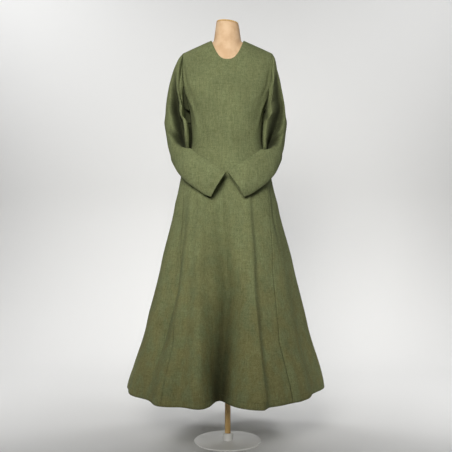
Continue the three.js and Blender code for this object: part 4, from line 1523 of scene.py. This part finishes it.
@dataclass(frozen=True)
class WoolCloth:
    """A dull, dense olive wool with flecked yarns and a little nap. Its colour is darkened by painted shade in
    deep folds, in the armpits and along the seams.
    """

    dark: tuple[float, float, float] = (0.118, 0.138, 0.061)
    light: tuple[float, float, float] = (0.211, 0.238, 0.121)
    roughness: float = 0.96
    shine: float = 0.06
    nap: float = 0.03
    nap_roughness: float = 0.6
    nap_tint: tuple[float, float, float] = (0.62, 0.66, 0.45)
    pitch: float = 0.0014
    hem_depth: float = 25.0
    painted_fold_shade: float = 0.2

    def melange(self) -> bpy.types.NodeTree:
        """The node group of the two-coloured yarn."""
        inputs = {"Place": Socket.VECTOR, "Dark yarn": Socket.COLOUR, "Light yarn": Socket.COLOUR}
        outputs = {"Colour": Socket.COLOUR, "Height": Socket.NUMBER}
        return shader_group("Melange yarn", inputs, outputs, fill_melange)

    def weave(self) -> bpy.types.NodeTree:
        """The node group of the weave."""
        inputs = {"Flat map": Socket.VECTOR, "Pitch": Socket.NUMBER}
        return shader_group("Plain weave", inputs, {"Height": Socket.NUMBER}, fill_weave)

    def seam(self) -> bpy.types.NodeTree:
        """The node group of the pressed seams."""
        inputs = {"Sewn": Socket.NUMBER, "Turned": Socket.NUMBER, "Hem depth": Socket.NUMBER}
        outputs = {"Height": Socket.NUMBER, "Shade": Socket.NUMBER}
        return shader_group("Pressed seam", inputs, outputs, fill_seam)

    def material(self) -> bpy.types.Material:
        """Makes the material.

        Returns:
            The material.
        """
        material, nodes, shader, place = new_material("olive wool")
        flat = nodes.add("ShaderNodeUVMap", uv_map="cloth").outputs[0]
        sewn, turned, deep = (
            nodes.add("ShaderNodeAttribute", attribute_name=name).outputs["Fac"]
            for name in ("sewn_mm", "turned_mm", "deep")
        )
        melange = nodes.group(
            self.melange(), {"Place": place, "Dark yarn": (*self.dark, 1), "Light yarn": (*self.light, 1)}
        )
        weave = nodes.group(self.weave(), {"Flat map": flat, "Pitch": self.pitch})
        seam = nodes.group(self.seam(), {"Sewn": sewn, "Turned": turned, "Hem depth": self.hem_depth})
        # Painted shade: the wool's colour darkens where the deep mask puts a point in a fold, the sleeve slack
        # or the armpit, standing in for the shade that falls there.
        crease = nodes.ramp(deep, 0.15, 1.0, 1.0, self.painted_fold_shade)
        shade = nodes.maths("MULTIPLY", seam.outputs["Shade"], crease)
        normal = nodes.bump(weave.outputs["Height"], 0.25, 0.0003)
        normal = nodes.bump(melange.outputs["Height"], 0.5, 0.0012, normal)
        normal = nodes.bump(seam.outputs["Height"], 0.8, 0.0016, normal)
        nodes.feed(shader, {
            "Base Color": nodes.scaled(melange.outputs["Colour"], shade),
            "Normal": normal,
            "Roughness": self.roughness,
            "Specular IOR Level": self.shine,
            "Sheen Weight": self.nap,
            "Sheen Roughness": self.nap_roughness,
            "Sheen Tint": (*self.nap_tint, 1),
        })
        return material


@dataclass(frozen=True)
class FormCover:
    """The form's tight flesh-coloured cover, a little mottled."""

    pale: tuple[float, float, float] = (0.80, 0.56, 0.345)
    deep: tuple[float, float, float] = (0.68, 0.44, 0.25)
    roughness: float = 0.62

    def material(self) -> bpy.types.Material:
        """Makes the material.

        Returns:
            The material.
        """
        material, nodes, shader, place = new_material("form cover")
        skin = nodes.group(uneven_skin(), {
            "Place": place, "Patch scale": 26.0, "Grain scale": 900.0,
            "Smoothest": self.roughness - 0.06, "Roughest": self.roughness + 0.08,
        })
        share = nodes.ramp(skin.outputs["Patch"], 0.35, 0.7, 0.0, 1.0)
        nodes.feed(shader, {
            "Base Color": nodes.mix(share, (*self.pale, 1), (*self.deep, 1)),
            "Normal": nodes.bump(skin.outputs["Grain"], 0.25, 0.0004),
            "Roughness": skin.outputs["Roughness"],
        })
        return material


@dataclass(frozen=True)
class PaleWood:
    """Pale, lightly varnished wood with an upright grain."""

    pale: tuple[float, float, float] = (0.78, 0.52, 0.22)
    deep: tuple[float, float, float] = (0.54, 0.33, 0.11)
    roughness: float = 0.48

    def material(self) -> bpy.types.Material:
        """Makes the material.

        Returns:
            The material.
        """
        material, nodes, shader, place = new_material("bare wood")
        lines = nodes.noise(nodes.times(place, (260.0, 260.0, 9.0)), scale=1.0, detail=4.0)
        pores = nodes.noise(nodes.times(place, (900.0, 900.0, 60.0)), scale=1.0, detail=2.0)
        both = nodes.maths("ADD", nodes.maths("MULTIPLY", lines, 0.75), nodes.maths("MULTIPLY", pores, 0.25))
        share = nodes.ramp(both, 0.38, 0.66, 0.0, 1.0)
        nodes.feed(shader, {
            "Base Color": nodes.mix(share, (*self.pale, 1), (*self.deep, 1)),
            "Normal": nodes.bump(both, 0.2, 0.0005),
            "Roughness": nodes.ramp(both, 0.3, 0.7, self.roughness, self.roughness + 0.14),
        })
        return material


@dataclass(frozen=True)
class PaleMetal:
    """Off-white painted metal with a satin skin."""

    colour: tuple[float, float, float] = (0.88, 0.875, 0.86)
    roughness: float = 0.36
    gloss_coat: float = 0.2

    def material(self) -> bpy.types.Material:
        """Makes the material.

        Returns:
            The material.
        """
        material, nodes, shader, place = new_material("pale metal")
        skin = nodes.group(uneven_skin(), {
            "Place": place, "Patch scale": 12.0, "Grain scale": 420.0,
            "Smoothest": self.roughness - 0.05, "Roughest": self.roughness + 0.12,
        })
        nodes.feed(shader, {
            "Base Color": (*self.colour, 1),
            "Metallic": 0.0,
            "Coat Weight": self.gloss_coat,
            "Normal": nodes.bump(skin.outputs["Grain"], 0.12, 0.0003),
            "Roughness": skin.outputs["Roughness"],
        })
        return material


@dataclass(frozen=True)
class Thread:
    """Matt sewing thread a shade darker than the cloth."""

    colour: tuple[float, float, float] = (0.095, 0.102, 0.050)
    roughness: float = 0.8

    def material(self) -> bpy.types.Material:
        """Makes the material.

        Returns:
            The material.
        """
        material, nodes, shader, place = new_material("olive thread")
        twist = nodes.noise(place, scale=1500.0, detail=1.0)
        nodes.feed(shader, {
            "Base Color": (*self.colour, 1),
            "Normal": nodes.bump(twist, 0.3, 0.0002),
            "Roughness": self.roughness,
        })
        return material


def new_material(name: str) -> tuple[bpy.types.Material, Nodes, bpy.types.Node, bpy.types.NodeSocket]:
    """Makes a material.

    Args:
        name: its name.

    Returns:
        The material, its nodes, its Principled shader and the socket of Object coordinates.
    """
    material = bpy.data.materials.new(name)
    material.use_nodes = True
    nodes = Nodes(material.node_tree)
    place = nodes.add("ShaderNodeTexCoord").outputs["Object"]
    return material, nodes, material.node_tree.nodes["Principled BSDF"], place


@dataclass
class Dress:
    """The whole dress: its shells with their sewing."""

    wool: bpy.types.Material
    thread: bpy.types.Material
    body: DressBody = field(default_factory=DressBody)
    sleeves: Sleeves = field(default_factory=Sleeves)
    # How far in from the hem and from a cuff a row of stitches lies, in mm.
    hem_inset: float = 25.0
    cuff_inset: float = 15.0

    # The flat cut of each piece in metres: width, length and area.
    CUTS = {
        "front_panel": (0.63, 1.47, 0.675),
        "back_panel": (0.60, 1.47, 0.646),
        "gore_right": (0.79, 1.05, 0.388),
        "gore_left": (0.79, 1.05, 0.398),
        "sleeve_left": (0.46, 0.62, 0.227),
        "sleeve_right": (0.45, 0.62, 0.213),
        "gusset_left": (0.07, 0.10, 0.0037),
        "gusset_right": (0.07, 0.10, 0.0037),
    }

    def stitch(self, grid: ClothGrid) -> list[bpy.types.Object]:
        """Makes the row of stitches of a piece whose lower edge is turned in.

        Args:
            grid: the piece.

        Returns:
            The row in a list, which is empty where the piece has none.
        """
        if Edge.HEM not in grid.turned:
            return []
        inset = self.cuff_inset if grid.is_ring else self.hem_inset
        row = Stitching(grid, inset, self.thread).build()
        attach(row, "root")
        return [row]

    def build(self, form: DressForm) -> None:
        """Makes all cloth pieces and their stitches.

        Args:
            form: the form the dress hangs on; not used.
        """
        for grid in [*self.body.grids(), *self.sleeves.grids()]:
            cloth = grid.build(CLOTH, self.wool)
            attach(cloth, "root")
            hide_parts(grid.name)
            sewing = self.stitch(grid)


@dataclass(frozen=True)
class Lamp:
    """A square soft light: its place, the point it faces, its side, its watts and its beam in degrees."""

    name: str
    at: tuple[float, float, float]
    aim: tuple[float, float, float]
    side: float
    watts: float
    beam: float
    colour: tuple[float, float, float] = (1.0, 1.0, 1.0)

    def build(self) -> None:
        """Adds the light to the scene."""
        data = bpy.data.lights.new(self.name, "AREA")
        data.spread = math.radians(self.beam)
        data.shape, data.size, data.energy, data.color = "SQUARE", self.side, self.watts, self.colour
        lamp = bpy.data.objects.new(self.name, data)
        lamp.location = self.at
        lamp.rotation_euler = (Vector(self.aim) - Vector(self.at)).to_track_quat("-Z", "Y").to_euler()
        bpy.context.scene.collection.objects.link(lamp)


@dataclass
class Studio:
    """A pale seamless sweep, a soft key light from the front, washes for wall and floor, and the camera."""

    half_width: float = 2.8
    front_y: float = -1.6
    wall_y: float = 2.6
    bend: float = 1.2
    bend_steps: int = 24
    wall_top: float = 5.5
    floor_z: float = -0.0005
    paper: tuple[float, float, float] = (0.80, 0.80, 0.795)
    air_light: float = 0.045
    camera_at: tuple[float, float, float] = (-0.00714, -3.0, 0.903)
    lens: float = 56.9
    sensor: float = 36.0

    LAMPS = (
        Lamp("key", (-0.45, -3.2, 2.05), (0, 0, 1.3), 1.2, 13.5, 57.0, (1.0, 0.985, 0.94)),
        Lamp("wall wash left", (-2.6, 1.0, 3.7), (-0.3, 2.6, 1.6), 1.6, 32.0, 104.0),
        Lamp("wall wash right", (2.6, 1.0, 3.7), (0.3, 2.6, 1.5), 1.6, 21.5, 104.0),
        Lamp("floor left", (-2.7, -1.2, 2.6), (-1.8, 0.4, 0.0), 1.0, 10.5, 66.0),
        Lamp("floor right", (2.7, -1.2, 2.6), (1.8, 0.4, 0.0), 1.0, 12.5, 66.0),
    )

    def build(self) -> None:
        """Makes the sweep, the lights, the world and the camera."""
        self.sweep()
        for lamp in self.LAMPS:
            lamp.build()
        self.world()
        self.camera()

    def sweep(self) -> bpy.types.Object:
        """Makes the floor and wall in one curved sheet.

        Returns:
            The object.
        """
        bm = bmesh.new()
        profile = [(self.front_y, self.floor_z)]
        for k in range(self.bend_steps + 1):
            turn = math.pi / 2 * k / self.bend_steps
            y = self.wall_y - self.bend + self.bend * math.sin(turn)
            profile.append((y, self.bend * (1 - math.cos(turn)) + self.floor_z))
        profile.append((self.wall_y, self.wall_top))
        verts = [bm.verts.new((-self.half_width, y, z)) for y, z in profile]
        edges = [bm.edges.new(pair) for pair in zip(verts, verts[1:])]
        made = bmesh.ops.extrude_edge_only(bm, edges=edges)["geom"]
        moved = [item for item in made if isinstance(item, bmesh.types.BMVert)]
        bmesh.ops.translate(bm, verts=moved, vec=(2 * self.half_width, 0, 0))
        bmesh.ops.recalc_face_normals(bm, faces=bm.faces)
        for face in bm.faces:
            face.smooth = True
        material, nodes, shader, _ = new_material("studio paper")
        nodes.feed(shader, {"Base Color": (*self.paper, 1), "Roughness": 0.95, "Specular IOR Level": 0.05})
        return new_object("studio_sweep", bm, material)

    def world(self) -> None:
        """A faint even light from all round."""
        world = bpy.data.worlds.new("studio air")
        world.use_nodes = True
        background = world.node_tree.nodes["Background"]
        background.inputs["Color"].default_value = (1.0, 1.0, 1.0, 1)
        background.inputs["Strength"].default_value = self.air_light
        bpy.context.scene.world = world

    def camera(self) -> None:
        """The camera, level and straight on from the front."""
        data = bpy.data.cameras.new("camera")
        data.lens = self.lens
        data.sensor_width = self.sensor
        data.dof.use_dof = False
        camera = bpy.data.objects.new("camera", data)
        camera.location = self.camera_at
        camera.rotation_euler = (math.pi / 2, 0, 0)
        bpy.context.scene.collection.objects.link(camera)
        bpy.context.scene.camera = camera
        bpy.context.scene.view_settings.view_transform = "Standard"


def main() -> None:
    """Builds the scene in order."""
    wool, thread = WoolCloth().material(), Thread().material()
    form = DressForm(FormCover().material())
    form.build()
    Stand(PaleWood().material(), PaleMetal().material()).build()
    Dress(wool, thread).build(form)
    Studio().build()


if __name__ == "__main__":
    main()
